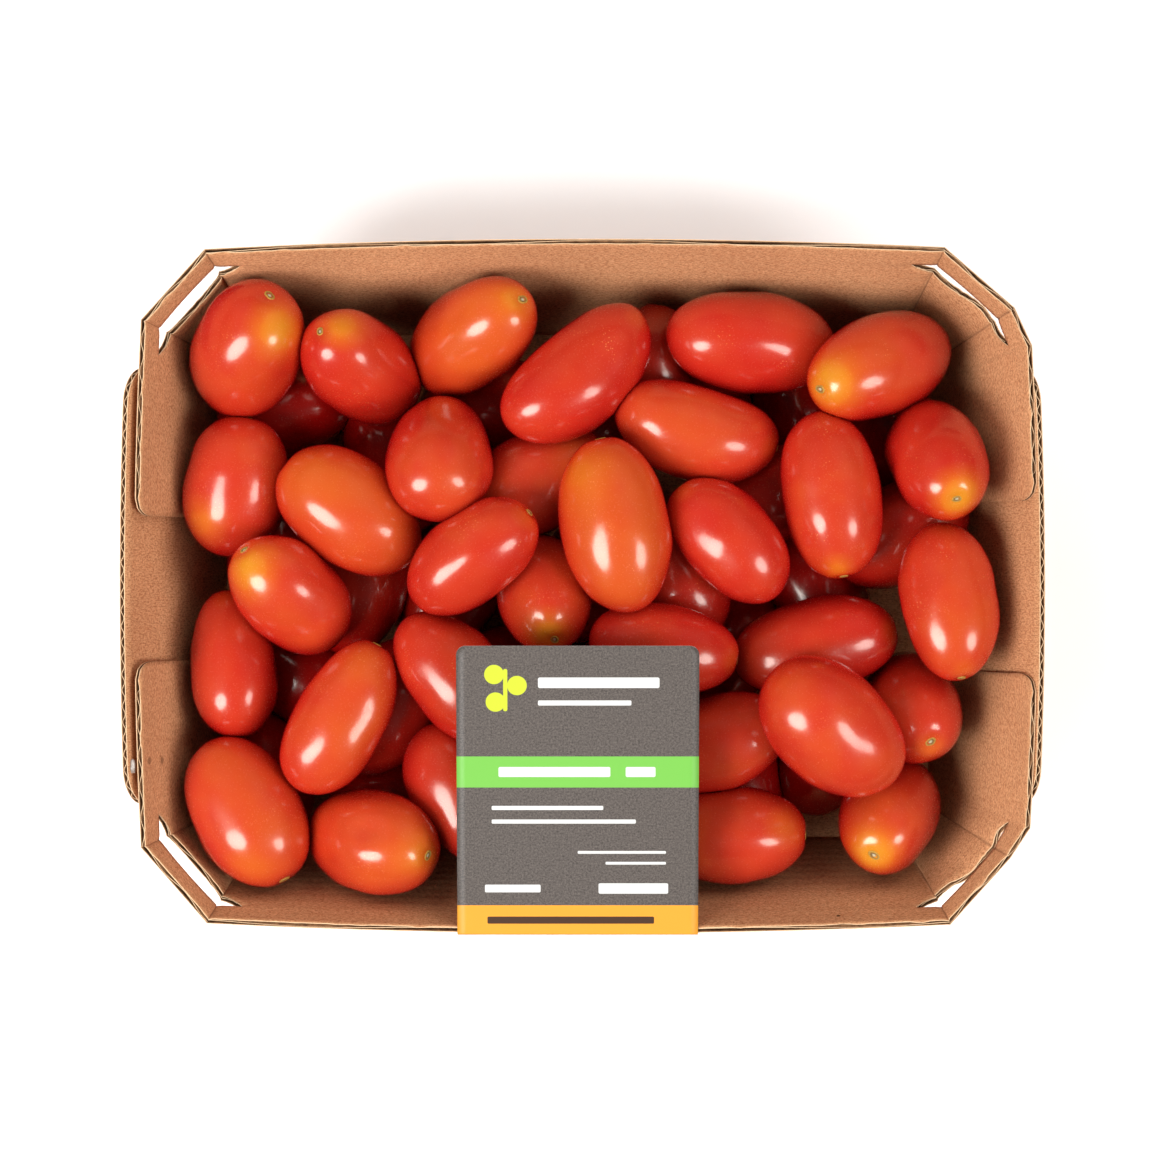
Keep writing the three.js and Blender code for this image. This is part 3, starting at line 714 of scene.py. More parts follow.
def flute_strip(line, normals, downs, depth, period, phase, materials):
    """The fluted sheet that shows between the liners at a cut edge, a few millimetres deep."""
    grid = []
    run = 0.0
    lean = math.sqrt(max(0.0, 1 - (FLUTE / period) ** 2)) / FLUTE
    room = (BOARD - 2 * LINER - MEDIUM) / 2 * STRIP_SWING
    for i, (p, n, d) in enumerate(zip(line, normals, downs)):
        if i:
            run += math.dist(p, line[i - 1])
        column = []
        for j in range(STRIP_ROWS + 1):
            down = depth * j / STRIP_ROWS
            swing = math.sin(2 * math.pi * (run / period + down * lean) + phase)
            column.append(p - n * (BOARD / 2 - MEDIUM / 2 + swing * room) + d * (down + STRIP_SINK))
        grid.append(column)
    return sheet_object("flutes", np.array(grid), None, {}, True, materials, MEDIUM)


def edge_flutes(line, normals, downs, depth, period, phase, materials):
    """A strip of flutes along an edge, with points close enough together to show its waves."""
    line = np.asarray(line)
    runs = np.concatenate([[0], np.cumsum(np.linalg.norm(np.diff(line, axis=0), axis=1))])
    wanted = np.linspace(0, runs[-1], max(2, int(runs[-1] / min(STRIP_STEP, period / 9))))

    def spread(vectors):
        return np.stack([np.interp(wanted, runs, np.asarray(vectors)[:, k]) for k in range(3)], axis=1)

    def unit(vectors):
        return vectors / np.linalg.norm(vectors, axis=1, keepdims=True)

    downs = unit(spread(downs))
    return flute_strip(spread(line), unit(spread(normals)), downs, depth, period, phase, materials)


# How the board below each corner's slot gave at the cut: outwards in millimetres, at shares of the
# way along the slot. The right-hand corners were pushed nearly shut.
SLOT_GIVE = {
    ("back", 1): [(0, 0), (0.15, -0.55), (0.85, -0.5), (1, 0)],
    ("back", 3): [(0, 0), (0.12, 0.2), (0.35, 0.8), (0.58, 1.9), (0.68, 1.8), (0.8, 0.9), (1, 0)],
    ("front", 2): [(0, 0), (0.1, 0.7), (0.19, 1.9), (0.46, 2.6), (0.56, 2.2), (0.68, 0.5)]
    + [(0.86, -0.6), (1, 0)],
    ("front", 4): [(0, 0), (0.15, -0.5), (0.85, -0.55), (1, 0)],
}
SLOT_TORN, SLOT_UNEVEN = 0.25, 0.12  # how far a torn edge and a plain one wander
GIVE_REACH = 11.0  # how far down from the cut the board gave
RUN_ON_REACH, RUN_ON_DEPTH = 16.0, 0.12  # of the folds that run on from the slots' ends along a long wall
RIM_LOW = (0.1, 0.06)  # how far the rims of the inner and outer liners lie below the height
CRUSH, CRUSH_BELOW = 0.6, 0.3  # how much thinner the rim is crushed, and the share of it a row below
PINCH, PINCH_REACH = 0.45, 1.6  # how much thinner the flaps' ends are, and over what length
FOLD_NEAR, FOLD_THIN = 0.6, 0.93  # within this distance of a fold the board is thinner by this factor
RIM_FLUTES, SLOT_FLUTES = 4.0, 2.4  # how deep the fluted sheet shows at the rim and at the slots
END_FREE = 2.2  # the length at the flaps' ends that has no flutes


def give_way(half, grid, normals, shares, stretches):
    """Moves the board below each slot the way it gave."""
    for k, (lo, hi) in stretches.items():
        for i in range(lo, hi + 1):
            here = -np.interp(shares[i], *zip(*SLOT_GIVE[half, k]))
            here += SLOT_UNEVEN * noise.noise(Vector((i * 0.6, k, 5.0)))
            if here < -1.0:
                here += SLOT_TORN * noise.noise(Vector((i * 1.9, k, 2.0)))
            for j in range(LOW_LEVELS + 1):
                below = grid[i, LOW_LEVELS, 2] - grid[i, j, 2]
                grid[i, j] -= normals[i, j] * here * max(0.0, 1 - below / GIVE_REACH) ** 2


def run_on_folds(columns, shares, stretches, levels):
    """How strongly the folds that run on from the slots' ends show at each point of the long wall."""
    fold = np.zeros((len(columns), levels))
    for ends in stretches.values():
        for i, column in enumerate(columns):
            if column["slope"] == 0 and shares[i] is None:
                away = min(abs(column["along"] - columns[end]["along"]) for end in ends)
                fold[i, LOW_LEVELS : LOW_LEVELS + 2] += math.exp(-away / RUN_ON_REACH)
    return fold


def inner_face(half, columns, grid, normals):
    """The inner face, as far in as the board is thick there. The rim of both faces wanders a little."""
    inner = grid.copy()
    for i, column in enumerate(columns):
        wander = noise.noise(Vector((column["along"] * 0.11, 3.0 if half == "back" else 7.0, 0)))
        crush = max(0.0, noise.noise(Vector((column["along"] * 0.23, 9.0, 0)))) * CRUSH
        to_end = min(column["along"], columns[-1]["along"] - column["along"])
        thin = [PINCH * math.exp(-((to_end / PINCH_REACH) ** 2))] * grid.shape[1]
        thin[-1] += crush
        thin[-2] += crush * CRUSH_BELOW
        for j, less in enumerate(thin):
            thick = (BOARD - less) * (FOLD_THIN if column["crease"] < FOLD_NEAR else 1.0)
            inner[i, j] = grid[i, j] - normals[i, j] * thick
        inner[i, -1, 2] -= RIM_LOW[0] + 0.12 * wander
        grid[i, -1, 2] -= RIM_LOW[1] - 0.06 * wander
        if half == "front":
            for middle, reach, depth in RIM_TEARS:
                torn = depth * math.exp(-(((inner[i, -1, 0] - middle) / reach) ** 4))
                inner[i, -1, 2] -= torn
                grid[i, -1, 2] -= torn * 0.8
    return inner


def make_walls(half, materials, flutes):
    """The two liners of one half of the walls, and the flutes at its cut edges."""
    columns = wall_columns(half)
    shares, stretches = slot_reach(columns)
    grid, opened = wall_sheet(columns, shares)
    normals = grid_normals(grid)
    give_way(half, grid, normals, shares, stretches)
    fold = run_on_folds(columns, shares, stretches, grid.shape[1])
    grid -= normals * fold[:, :, None] * RUN_ON_DEPTH
    inner = inner_face(half, columns, grid, normals)
    pieces = []
    for face, surface, number, inwards in (("outer", grid, 0.0, True), ("inner", inner, 5.0, False)):
        attributes = wall_attributes(columns, surface, number, fold)
        name = f"{face}_{half}"
        pieces.append(sheet_object(name, surface, opened, attributes, inwards, materials))

    def strip(inside, level, towards, depth, period, phase):
        line = grid[inside, level]
        downs = grid[inside, towards] - line
        pieces.append(edge_flutes(line, normals[inside, level], downs, depth, period, phase, flutes))

    def wave_length(slope):
        return FLUTE / math.sin(math.radians(slope)) if slope else RIM_WANDER

    total = columns[-1]["along"]
    for k, (_, _, slope) in enumerate(HALVES[half][1]):
        inside = [i for i, c in enumerate(columns) if c["panel"] == k]
        if inside[-1] + 1 < len(columns):
            inside.append(inside[-1] + 1)
        inside = [i for i in inside if END_FREE < columns[i]["along"] < total - END_FREE]
        strip(inside, -1, -2, RIM_FLUTES, wave_length(abs(slope)), k)
    for lo, hi in stretches.values():
        inside = list(range(lo + 1, hi))
        for level, step, phase in ((LOW_LEVELS, -1, 1.0), (LOW_LEVELS + 1, 1, 2.0)):
            strip(inside, level, level + step, SLOT_FLUTES, wave_length(CHAMFER_SLOPE), phase)
    return pieces


def flap_reach(side, y, z):
    """How far out the glued flap's outer face is at y and height z."""
    crease = end_crease(side)
    across = max(0.0, 1 - (y / crease[1]) ** 2)
    return mix(BASE_X, abs(crease[0]) + END_BOW * across, z / HEIGHT)


PANEL_COLUMNS, PANEL_LEVELS = 96, 16
PANEL_SINK = (0.05, 0.12)  # how far the rims of its outer and inner liners lie below the height


def make_end_panel(side, materials, flutes):
    """An end panel outside the glued flaps, its flutes running up to the rim, with round top corners."""
    grid = []
    for i in range(PANEL_COLUMNS + 1):
        y = -PANEL_HALF * math.cos(math.pi * i / PANEL_COLUMNS)
        into = max(0.0, abs(y) - (PANEL_HALF - PANEL_ROUND))
        top = HEIGHT - (PANEL_ROUND - math.sqrt(max(0.0, PANEL_ROUND**2 - into**2)))
        column = []
        for j in range(PANEL_LEVELS + 1):
            z = top * j / PANEL_LEVELS
            away = PANEL_LEAN[side] * max(0.0, (z / HEIGHT - PANEL_FREE) / (1 - PANEL_FREE))
            column.append((side * (flap_reach(side, y, z) + away + LEVEL_BOARD), y, z))
        grid.append(column)
    grid = np.array(grid)
    normals = grid_normals(grid)
    inner = grid - normals * BOARD
    inner[:, :, 0] = side * np.maximum(np.abs(inner[:, :, 0]), BASE_X + 0.05)
    y, z = grid[:, :, 1].copy(), grid[:, :, 2].copy()
    attributes = {"along": z, "across": y, "crease": np.minimum(FOLD_FAR, z + BASE_FOLD)}
    attributes |= {"sheet": z * 0 + 8, "slot_fold": z * 0}
    grid[:, -1, 2] -= PANEL_SINK[0]
    inner[:, -1, 2] -= PANEL_SINK[1]
    name = "left" if side < 0 else "right"
    downs = grid[:, -2] - grid[:, -1]
    return [
        sheet_object("panel_outer_" + name, grid, None, attributes, True, materials),
        sheet_object("panel_inner_" + name, inner, None, attributes, False, materials),
        edge_flutes(grid[:, -1], normals[:, -1], downs, RIM_FLUTES, FLUTE, 0.4, flutes),
    ]


FLOOR_OUT = 0.9  # how far the floor reaches under the end panels
FLOOR_RINGS = [(0.5, 0.0), (0.12, 0.12), (0.0, 0.45), (0.3, BOARD)]  # its edge: how far in, at what height


def make_base(materials):
    """The tray's floor, a slab of board whose underside is slightly rounded at the folds."""
    loop = [BASE[name] for name in RIM]
    loop = [(x * (1 + FLOOR_OUT / BASE_X) if abs(x) == BASE_X else x, y) for x, y in loop]
    rings = []
    for inset, z in FLOOR_RINGS:
        rings.append([(x - math.copysign(inset, x), y - math.copysign(inset, y), z) for x, y in loop])
    points = [p for ring in rings for p in ring]
    n = len(loop)
    faces = [tuple(range(n)), tuple(reversed(range((len(rings) - 1) * n, len(rings) * n)))]
    for k in range(len(rings) - 1):
        for i in range(n):
            a, b = k * n + i, k * n + (i + 1) % n
            faces.append((a, a + n, b + n, b))
    mesh = mesh_from("tray_floor", points, faces, smooth=False)
    even = np.ones(len(points))
    set_attributes(mesh, along=[p[0] for p in points], across=[p[1] for p in points])
    set_attributes(mesh, crease=even * FOLD_FAR, sheet=even * 2, slot_fold=even * 0)
    for material in materials:
        mesh.materials.append(material)
    return [cleaned(new_object("tray_floor", mesh))]


def make_tray():
    liner = board_material("board_liner", 0.0)
    edge = board_material("board_edge", 0.6)
    inside = medium_material()
    materials = (liner, inside, edge)
    flutes = (inside, inside, edge)
    pieces = make_base(materials)
    for half in HALVES:
        pieces += make_walls(half, materials, flutes)
    for side in (-1, 1):
        pieces += make_end_panel(side, materials, flutes)
    tray = joined("board_tray", pieces)
    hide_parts("tray")
    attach(tray, "root")


GLUE_AT, GLUE_SIZE = (-97.0, -39.1, 46.7), (0.85, 1.5, 0.9)  # its middle and its half sizes
GLUE_AROUND, GLUE_UP = 20, 12  # its faces round and from pole to pole


def make_glue():
    """A drop of dried glue, squeezed out between the left end panel and the flap in front."""
    points = []
    for i in range(GLUE_UP + 1):
        rise = math.pi * (i / GLUE_UP - 0.5)
        for j in range(GLUE_AROUND if 0 < i < GLUE_UP else 1):
            turn = 2 * math.pi * j / GLUE_AROUND
            level = math.cos(rise)
            unit = Vector((math.cos(turn) * level, math.sin(turn) * level, math.sin(rise)))
            swell = 1 + 0.3 * noise.noise(unit * 1.6)
            points.append([at + size * swell * c for at, size, c in zip(GLUE_AT, GLUE_SIZE, unit)])
    faces = ball_faces(0, GLUE_AROUND, GLUE_UP)
    mesh = mesh_from("glue_drop", points, faces)
    n = Nodes("dried_glue")
    haze = n.noise(n.position(), 900.0, 2.0)
    base = n.blend(n.remap(haze, 0.3, 0.7), srgb(150, 140, 132), srgb(206, 200, 194))
    mesh.materials.append(n.finish(base, 0.3, n.bump(haze, 0.3, 0.0002)))
    glue = cleaned(new_object("glue_drop", mesh))
    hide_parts("tray")
    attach(glue, "root")


# ---- the fruit ----


def stem_axis(row):
    """The direction from a fruit's middle to its stem end."""
    heading, rise = math.radians(row.heading), math.radians(row.rise)
    level = math.cos(rise)
    return np.array([math.cos(heading) * level, math.sin(heading) * level, math.sin(rise)])


def balls(row):
    """Balls along a fruit's axis that fill it: each one's place along it and its radius."""
    a, b = row.length / 2, row.width / 2
    span = a * a - b * b
    alongs = [k * span / a for k in (-1, -0.5, 0, 0.5, 1)]
    return [(along, b * math.sqrt(1 - along**2 / span)) for along in alongs]


def inner_walls():
    """Each wall as the heap meets it: its normal from above, its distance from the middle at the base
    and how far it runs out with the height."""
    walls = []
    for s in (1, -1):
        end = end_crease(s)
        walls.append(((s, 0), BASE_X - BOARD, (abs(end[0]) + END_BOW - BASE_X) / HEIGHT))
        walls.append(((0, s), BASE_Y - BOARD, (RIM["back_left"][1] + SIDE_BOW / 2 - BASE_Y) / HEIGHT))
        for t in (1, -1):
            normal = (s * CORNER_NORMAL[0], t * CORNER_NORMAL[1])
            walls.append((normal, CORNER_REACH - BOARD, CORNER_RUN))
    return walls


def settle():
    """The fruit's middles once none presses into another or into the tray, as the solids are made."""
    home = np.array([row[:3] for row in FRUIT], float)
    middle = home.copy()
    offsets = np.array([[stem_axis(row) * along for along, _ in balls(row)] for row in FRUIT])
    radii = np.array([[radius for _, radius in balls(row)] for row in FRUIT])
    walls = inner_walls()
    for turn in range(SETTLE_ROUNDS):
        for i in range(len(middle)):
            for j in range(i + 1, len(middle)):
                gap = middle[i] - middle[j]
                if gap @ gap > TOUCH_FAR**2:
                    continue
                between = gap + offsets[i][:, None] - offsets[j][None, :]
                length = np.sqrt((between**2).sum(2))
                depth = (radii[i][:, None] + radii[j][None, :]) * SQUEEZE - length
                a, b = divmod(int(depth.argmax()), depth.shape[1])
                if depth[a, b] <= 0:
                    continue
                push = between[a, b] / length[a, b] * depth[a, b]
                apart = i < LOWEST <= j
                middle[i] += push * (PUSH["lower"] if apart else PUSH["alike"])
                middle[j] -= push * (PUSH["upper"] if apart else PUSH["alike"])
        for i, p in enumerate(middle):
            for offset, radius in zip(offsets[i], radii[i]):
                p[2] += max(0.0, BOARD + GAP + radius - (p[2] + offset[2]))
                for normal, base, slope in walls:
                    tilt = math.atan(slope)
                    out = normal[0] * (p[0] + offset[0]) + normal[1] * (p[1] + offset[1])
                    room = (base + (p[2] + offset[2]) * slope - out) * math.cos(tilt) - WALL_GAP
                    depth = max(0.0, radius - room) * WALL_PUSH
                    p[0] -= normal[0] * depth * math.cos(tilt)
                    p[1] -= normal[1] * depth * math.cos(tilt)
                    p[2] += depth * math.sin(tilt)
            if turn < SETTLE_ROUNDS - SETTLE_FREE:
                level, upright = DRAW["lower" if i < LOWEST else "upper"]
                p += (home[i] - p) * np.array([level, level, upright])
    return middle


AROUND, DOWN = 44, 30  # a fruit's faces round its axis and along it
BURIED_SHADE_FROM, BURIED_SHADE_OVER = 40.0, 18.0  # the height below which painted shade darkens the skins, and over what depth
BLUNT = 2.3  # how blunt a fruit's ends are: an ellipse's would be 2
STEM_DIP, DIP_WIDTH = 0.7, 0.17
LEAN, BEND_MIDDLE = 0.6, 0.6  # the most that a fruit bends by itself, and where its middle line stays put
# Swellings of the skin: how close together, the shift from one fruit to the next and how high.
SWELLS = [(1.3, (3.1, 0, 0), 0.55), (3.2, (0, 2.3, 0), 0.14)]
DENTS, DENT_DEPTH, DENT_EDGE = 2, 0.35, 0.8  # soft dents; the last is the cosine of their edge's angle
FLATTENED = 0.03  # the most that a fruit is wider one way than the other
PATCH_FALL, PATCH_BELOW = 1.4, 0.7  # how fast a patch fades outwards, and below the fruit's middle


def fruit_radius(t, narrow):
    """A fruit's half width at t along its axis, from the blossom end at -1 to the stem at 1."""
    return math.sqrt(max(0.0, 1 - abs(t) ** BLUNT)) * (1 - narrow * t)


def fruit_shape(k):
    """A function from t and an angle round the axis to a point of one fruit's skin, before it is
    turned and placed: blunt at both ends, sunk at the stem, with its own swellings and soft dents."""
    row = FRUIT[k]
    draw = random.Random(k + 1)
    lean = Vector((draw.uniform(-LEAN, LEAN), 0, 0))
    if k in BENDS:
        heading = math.radians(row.heading - 90)
        beside = Vector((math.cos(heading), math.sin(heading), 0))
        lean = stem_turn(row).inverted() @ beside * BENDS[k]
    flat = draw.uniform(-FLATTENED, FLATTENED)
    dents = [Vector([draw.uniform(-1, 1) for _ in range(3)]).normalized() for _ in range(DENTS)]

    def point(t, angle):
        r = fruit_radius(t, row.narrow) * row.width / 2
        z = t * row.length / 2
        p = Vector((math.cos(angle) * r * (1 + flat), math.sin(angle) * r * (1 - flat), z))
        unit = p.normalized()
        for close, shift, high in SWELLS:
            p += unit * (noise.noise(unit * close + Vector(shift) * (k + 1)) * high)
        for dent in dents:
            p -= unit * DENT_DEPTH * max(0.0, unit.dot(dent) - DENT_EDGE) / (1 - DENT_EDGE)
        p += lean * (BEND_MIDDLE - (p.z / (row.length / 2)) ** 2)
        if t > 0:
            off_stem = math.hypot(p.x, p.y) / (row.width / 2)
            p.z -= STEM_DIP * math.exp(-((off_stem / DIP_WIDTH) ** 2))
        return p

    return point


def stem_turn(row):
    """The turn that lays an upright fruit along its own axis."""
    return Vector((0, 0, 1)).rotation_difference(Vector(stem_axis(row))).to_matrix()


def fruit_points(k, middle):
    """One fruit's skin in place, and how yellow each point of it is."""
    turn = stem_turn(FRUIT[k])
    shape = fruit_shape(k)
    away_x, away_y, reach, strength = PATCHES.get(k) or stem_patch(FRUIT[k])
    points, yellow = [], []
    for i in range(DOWN + 1):
        t = -math.cos(math.pi * i / DOWN)
        for j in range(AROUND if 0 < i < DOWN else 1):
            p = turn @ shape(t, 2 * math.pi * j / AROUND)
            if k in DIMPLES and p.z > 0:
                x, y, wide, deep = DIMPLES[k]
                off = math.hypot(p.x - x, (p.y - y) * 1.5)
                p.z -= deep * math.exp(-((off / wide) ** 2)) * (1 + 0.5 * noise.noise(p * 0.5))
            far = math.hypot(p.x - away_x, p.y - away_y) + max(0.0, -p.z) * PATCH_BELOW
            yellow.append(strength * math.exp(-((far / reach) ** 2) * PATCH_FALL))
            points.append(p + Vector(middle))
    return points, yellow


def stem_patch(row):
    """A faint small patch round the stem, for fruit that have none of their own."""
    x, y, _ = stem_axis(row) * row.length / 2
    return x, y, 5.0, 0.3


PRESS_ROUNDS, PRESS_GAP, PRESS_MOST = 3, 0.03, 4.0  # rounds, the gap left and the deepest pressing
TOUCH_NEAR = 24.0  # no point of a fruit is farther than this from its middle


def press_apart(skins, middles):
    """Flattens fruit where they touch, each by half, so that none reaches into another."""
    faces = ball_faces(0, AROUND, DOWN)
    middles = [Vector(middle) for middle in middles]
    for _ in range(PRESS_ROUNDS):
        trees = [BVHTree.FromPolygons(skin, faces) for skin in skins]
        for i, skin in enumerate(skins):
            near = [k for k, m in enumerate(middles) if k != i and (m - middles[i]).length < TOUCH_FAR]
            for n, p in enumerate(skin):
                for k in near:
                    if (p - middles[k]).length > TOUCH_NEAR:
                        continue
                    spot, normal, _, depth = trees[k].find_nearest(p, PRESS_MOST)
                    away = PRESS_GAP if spot is None else (p - spot).dot(normal)
                    if away < PRESS_GAP:
                        skin[n] = skin[n] + normal * (depth / 2 if away < 0 else 0.0) + normal * PRESS_GAP


def make_tomatoes(middles):
    skins, yellow = [], []
    for k, middle in enumerate(middles):
        skin, patch = fruit_points(k, middle)
        skins.append(skin)
        yellow += patch
    press_apart(skins, middles)
    points, faces, tone, seeds = [], [], [], []
    for k, (row, skin) in enumerate(zip(FRUIT, skins)):
        faces += ball_faces(len(points), AROUND, DOWN)
        points += skin
        tone += [row.orange] * len(skin)
        seeds += [k * 0.37] * len(skin)
    mesh = mesh_from("cherry_tomatoes", points, faces)
    # how strongly painted shade darkens each point, from its height
    buried = [min(1.0, max(0.0, (BURIED_SHADE_FROM - p[2]) / BURIED_SHADE_OVER)) for p in points]
    set_attributes(mesh, tone=tone, yellow=yellow, seed=seeds, buried=buried)
    mesh.materials.append(skin_material())
    tomatoes = cleaned(new_object("cherry_tomatoes", mesh))
    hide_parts("tomatoes")
    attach(tomatoes, "root")


SCAR_RADIUS, SCAR_SIZES, SCAR_SIDES = 1.05, (0.8, 1.15), 16  # its radius, varied by a share, and sides
SCAR_RAGGED, SCAR_OVAL, SCAR_CUP = 0.16, 0.2, 0.12  # how ragged, how oval and how hollow it is
# From its middle outwards: the share of the radius, and the rise.
SCAR_PROFILE = [(0.0, 0.12), (0.3, 0.1), (0.5, 0.02), (0.7, 0.2), (0.88, 0.2), (1.0, 0.06), (1.15, -0.3)]


def make_scars(middles):
    """The small corky scars where the stems broke off, each a low ring round a paler middle."""
    points, faces, ring_share = [], [], []
    for k, (row, middle) in enumerate(zip(FRUIT, middles)):
        draw = random.Random(500 + k)
        turn = stem_turn(row)
        radius = SCAR_RADIUS * draw.uniform(*SCAR_SIZES)
        long_way = draw.uniform(0, math.pi)
        tip = fruit_shape(k)(1.0, 0.0)
        first = len(points)
        for share, rise in SCAR_PROFILE:
            for j in range(SCAR_SIDES):
                a = 2 * math.pi * j / SCAR_SIDES
                place = Vector((math.cos(a) * 2, math.sin(a) * 2, k * 1.3))
                ragged = 1 + SCAR_RAGGED * noise.noise(place)
                r = share * radius * ragged * (1 + SCAR_OVAL * math.cos(2 * (a - long_way)))
                p = tip + Vector((math.cos(a) * r, math.sin(a) * r, rise + SCAR_CUP * share**2))
                points.append(turn @ p + Vector(middle))
                ring_share.append(share)
        for i in range(len(SCAR_PROFILE) - 1):
            for j in range(SCAR_SIDES):
                a = first + i * SCAR_SIDES + j
                b = first + i * SCAR_SIDES + (j + 1) % SCAR_SIDES
                faces.append((a, b, b + SCAR_SIDES, a + SCAR_SIDES))
        bottom = first + (len(SCAR_PROFILE) - 1) * SCAR_SIDES
        faces.append(tuple(bottom + j for j in range(SCAR_SIDES)))
    mesh = mesh_from("stem_scars", points, faces)
    set_attributes(mesh, ring=ring_share)
    mesh.materials.append(scar_material())
    scars = cleaned(new_object("stem_scars", mesh), merge=0.00001)
    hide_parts("tomatoes")
    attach(scars, "root")


# ---- the card ----

PALE = srgb(208, 207, 203)
GREEN = srgb(110, 178, 70)
LIME = srgb(188, 198, 44)
AMBER = srgb(222, 148, 40)
BROWN = srgb(66, 42, 26)


def card_material(length):
    """Grey card with two bands, a sprig and plain bars. `print_x` runs across it from its middle and
    `print_y` along it from its far end, both in millimetres."""
    n = Nodes("printed_card")
    x, y = n.attribute("print_x"), n.attribute("print_y")
    spot = n.combine(x, y)
    specks = n.noise(spot, 2.4, 5.0, 0.8)
    cloud = n.noise(spot, 0.5, 2.0)
    base = n.blend(n.remap(specks, 0.38, 0.62), srgb(52, 47, 44), srgb(106, 97, 91))
    base = n.paint(base, srgb(94, 86, 80), cloud, 0.3, 0.7, 0.0, 0.25)

    def rounded(cx, cy, hx, hy, r):
        away = n.vector("ABSOLUTE", n.vector("SUBTRACT", spot, (cx, cy, 0)))
        past = n.vector("MAXIMUM", n.vector("SUBTRACT", away, (hx - r, hy - r, 1.0)), (0, 0, 0))
        return n.remap(n.vector("LENGTH", past), r + 0.04, r - 0.04)

    for cx, cy, hx, hy, r, colour in card_print(length):
        base = n.blend(rounded(cx, cy, hx, hy, r), base, colour)
    rough = n.remap(specks, 0.3, 0.7, 0.42, 0.55)
    return n.finish(base, rough, n.bump(specks, 0.08, 0.00004), Specular_IOR_Level=0.4)


def card_print(length):
    """Each mark's middle, half sizes, corner radius and colour."""
    return [
        (0, 27.5, 40, 3.4, 0.1, GREEN),
        (0, length - 3.3, 40, 3.3, 0.1, AMBER),
        # a sprig of three fruit on one stalk, at the left
        (-15.5, 9.6, 0.45, 4.6, 0.4, LIME),
        (-17.9, 6.2, 2.1, 2.1, 2.09, LIME),
        (-13.0, 8.6, 2.1, 2.1, 2.09, LIME),
        (-17.6, 12.2, 2.1, 2.1, 2.09, LIME),
        # plain bars
        (4.5, 8.0, 13.0, 1.15, 0.4, PALE),
        (1.5, 12.4, 10.0, 0.55, 0.3, PALE),
        (-5.0, 27.5, 12.0, 1.1, 0.35, PALE),
        (13.5, 27.5, 3.2, 1.1, 0.35, PALE),
        (-6.5, 35.4, 12.0, 0.45, 0.25, PALE),
        (-3.0, 38.4, 15.5, 0.45, 0.25, PALE),
        (9.5, 45.2, 9.5, 0.3, 0.2, PALE),
        (12.5, 47.6, 6.5, 0.3, 0.2, PALE),
        (-14.0, 53.2, 6.0, 0.85, 0.3, PALE),
        (12.0, 53.2, 7.5, 1.15, 0.35, PALE),
        (-1.5, length - 3.3, 18.0, 0.8, 0.3, BROWN),
    ]


CARD_CLEAR = 1.05  # the share of a fruit's radius at which the card passes over it
CARD_FOLD, CARD_SAG = 0.55, 0.25  # the fold's radius, and how far the card sags between rim and heap
# Rows of faces along the card: round its far corners, to the fold, round the fold and down the wall.
CORNER_ROWS, CARD_ROWS, FOLD_ROWS, DROP_ROWS = 8, 40, 6, 14
CARD_COLUMNS = 26
DROP_START, FOLD_LIFT = 0.4, 0.08  # how far below the rim the drop begins, and the fold's lift over it


def card_slope(middles, hinge_y, hinge_z):
    """The steepest line from the front rim that clears every fruit under the card."""
    slope = 0.0
    for row, middle in zip(FRUIT, middles):
        axis = stem_axis(row)
        for along, radius in balls(row):
            p = middle + axis * along - np.array([CARD_CENTRE, hinge_y, hinge_z])
            beside = max(0.0, abs(p[0]) - CARD_HALF)
            past = max(0.0, p[1] + hinge_y - CARD_FAR)
            reach = radius * CARD_CLEAR + GAP
            if beside < reach and past <= 0:
                level = math.sqrt(reach**2 - beside**2)
                touch = math.atan2(p[2], p[1]) + math.asin(min(1.0, level / math.hypot(p[1], p[2])))
                slope = max(slope, touch)
    return slope


def card_rows(middles):
    """The underside of the card from its far end to the end that hangs down: each row's y and z, its
    place along the print, and how much narrower it is on each side. Then its length to the rim."""
    rim = abs(RIM["front_right"][1]) + SIDE_BOW

    def wall(z):
        return -mix(BASE_Y, rim, z / HEIGHT) - CARD_NEAR

    hinge_y, hinge_z = wall(HEIGHT), HEIGHT + GAP
    slope = card_slope(middles, hinge_y, hinge_z)
    reach = (CARD_FAR - hinge_y) / math.cos(slope)
    rounds = [1 - math.cos(math.pi / 2 * k / CORNER_ROWS) for k in range(CORNER_ROWS)]
    alongs = [reach - CARD_ROUND * share for share in rounds]
    alongs += [mix(reach - CARD_ROUND, CARD_FOLD, i / CARD_ROWS) for i in range(CARD_ROWS + 1)]
    rows = []
    for along in alongs:
        sag = CARD_SAG * math.sin(math.pi * (along - CARD_FOLD) / (reach - CARD_FOLD))
        into = max(0.0, CARD_ROUND - (reach - along))
        narrow = CARD_ROUND - math.sqrt(CARD_ROUND**2 - into**2)
        z = hinge_z + along * math.sin(slope) + sag
        rows.append((hinge_y + along * math.cos(slope), z, reach - along, narrow))
    for k in range(1, FOLD_ROWS):
        a = math.pi / 2 * k / FOLD_ROWS
        y = hinge_y + CARD_FOLD * (1 - math.sin(a))
        z = hinge_z - CARD_FOLD * (1 - math.cos(a)) + FOLD_LIFT
        rows.append((y, z, reach - CARD_FOLD + CARD_FOLD * a, 0.0))
    for i in range(DROP_ROWS + 1):
        z = HEIGHT - mix(DROP_START, CARD_DROP, i / DROP_ROWS)
        rows.append((wall(z), z, reach + 0.5 + (HEIGHT - z), 0.0))
    return rows, reach


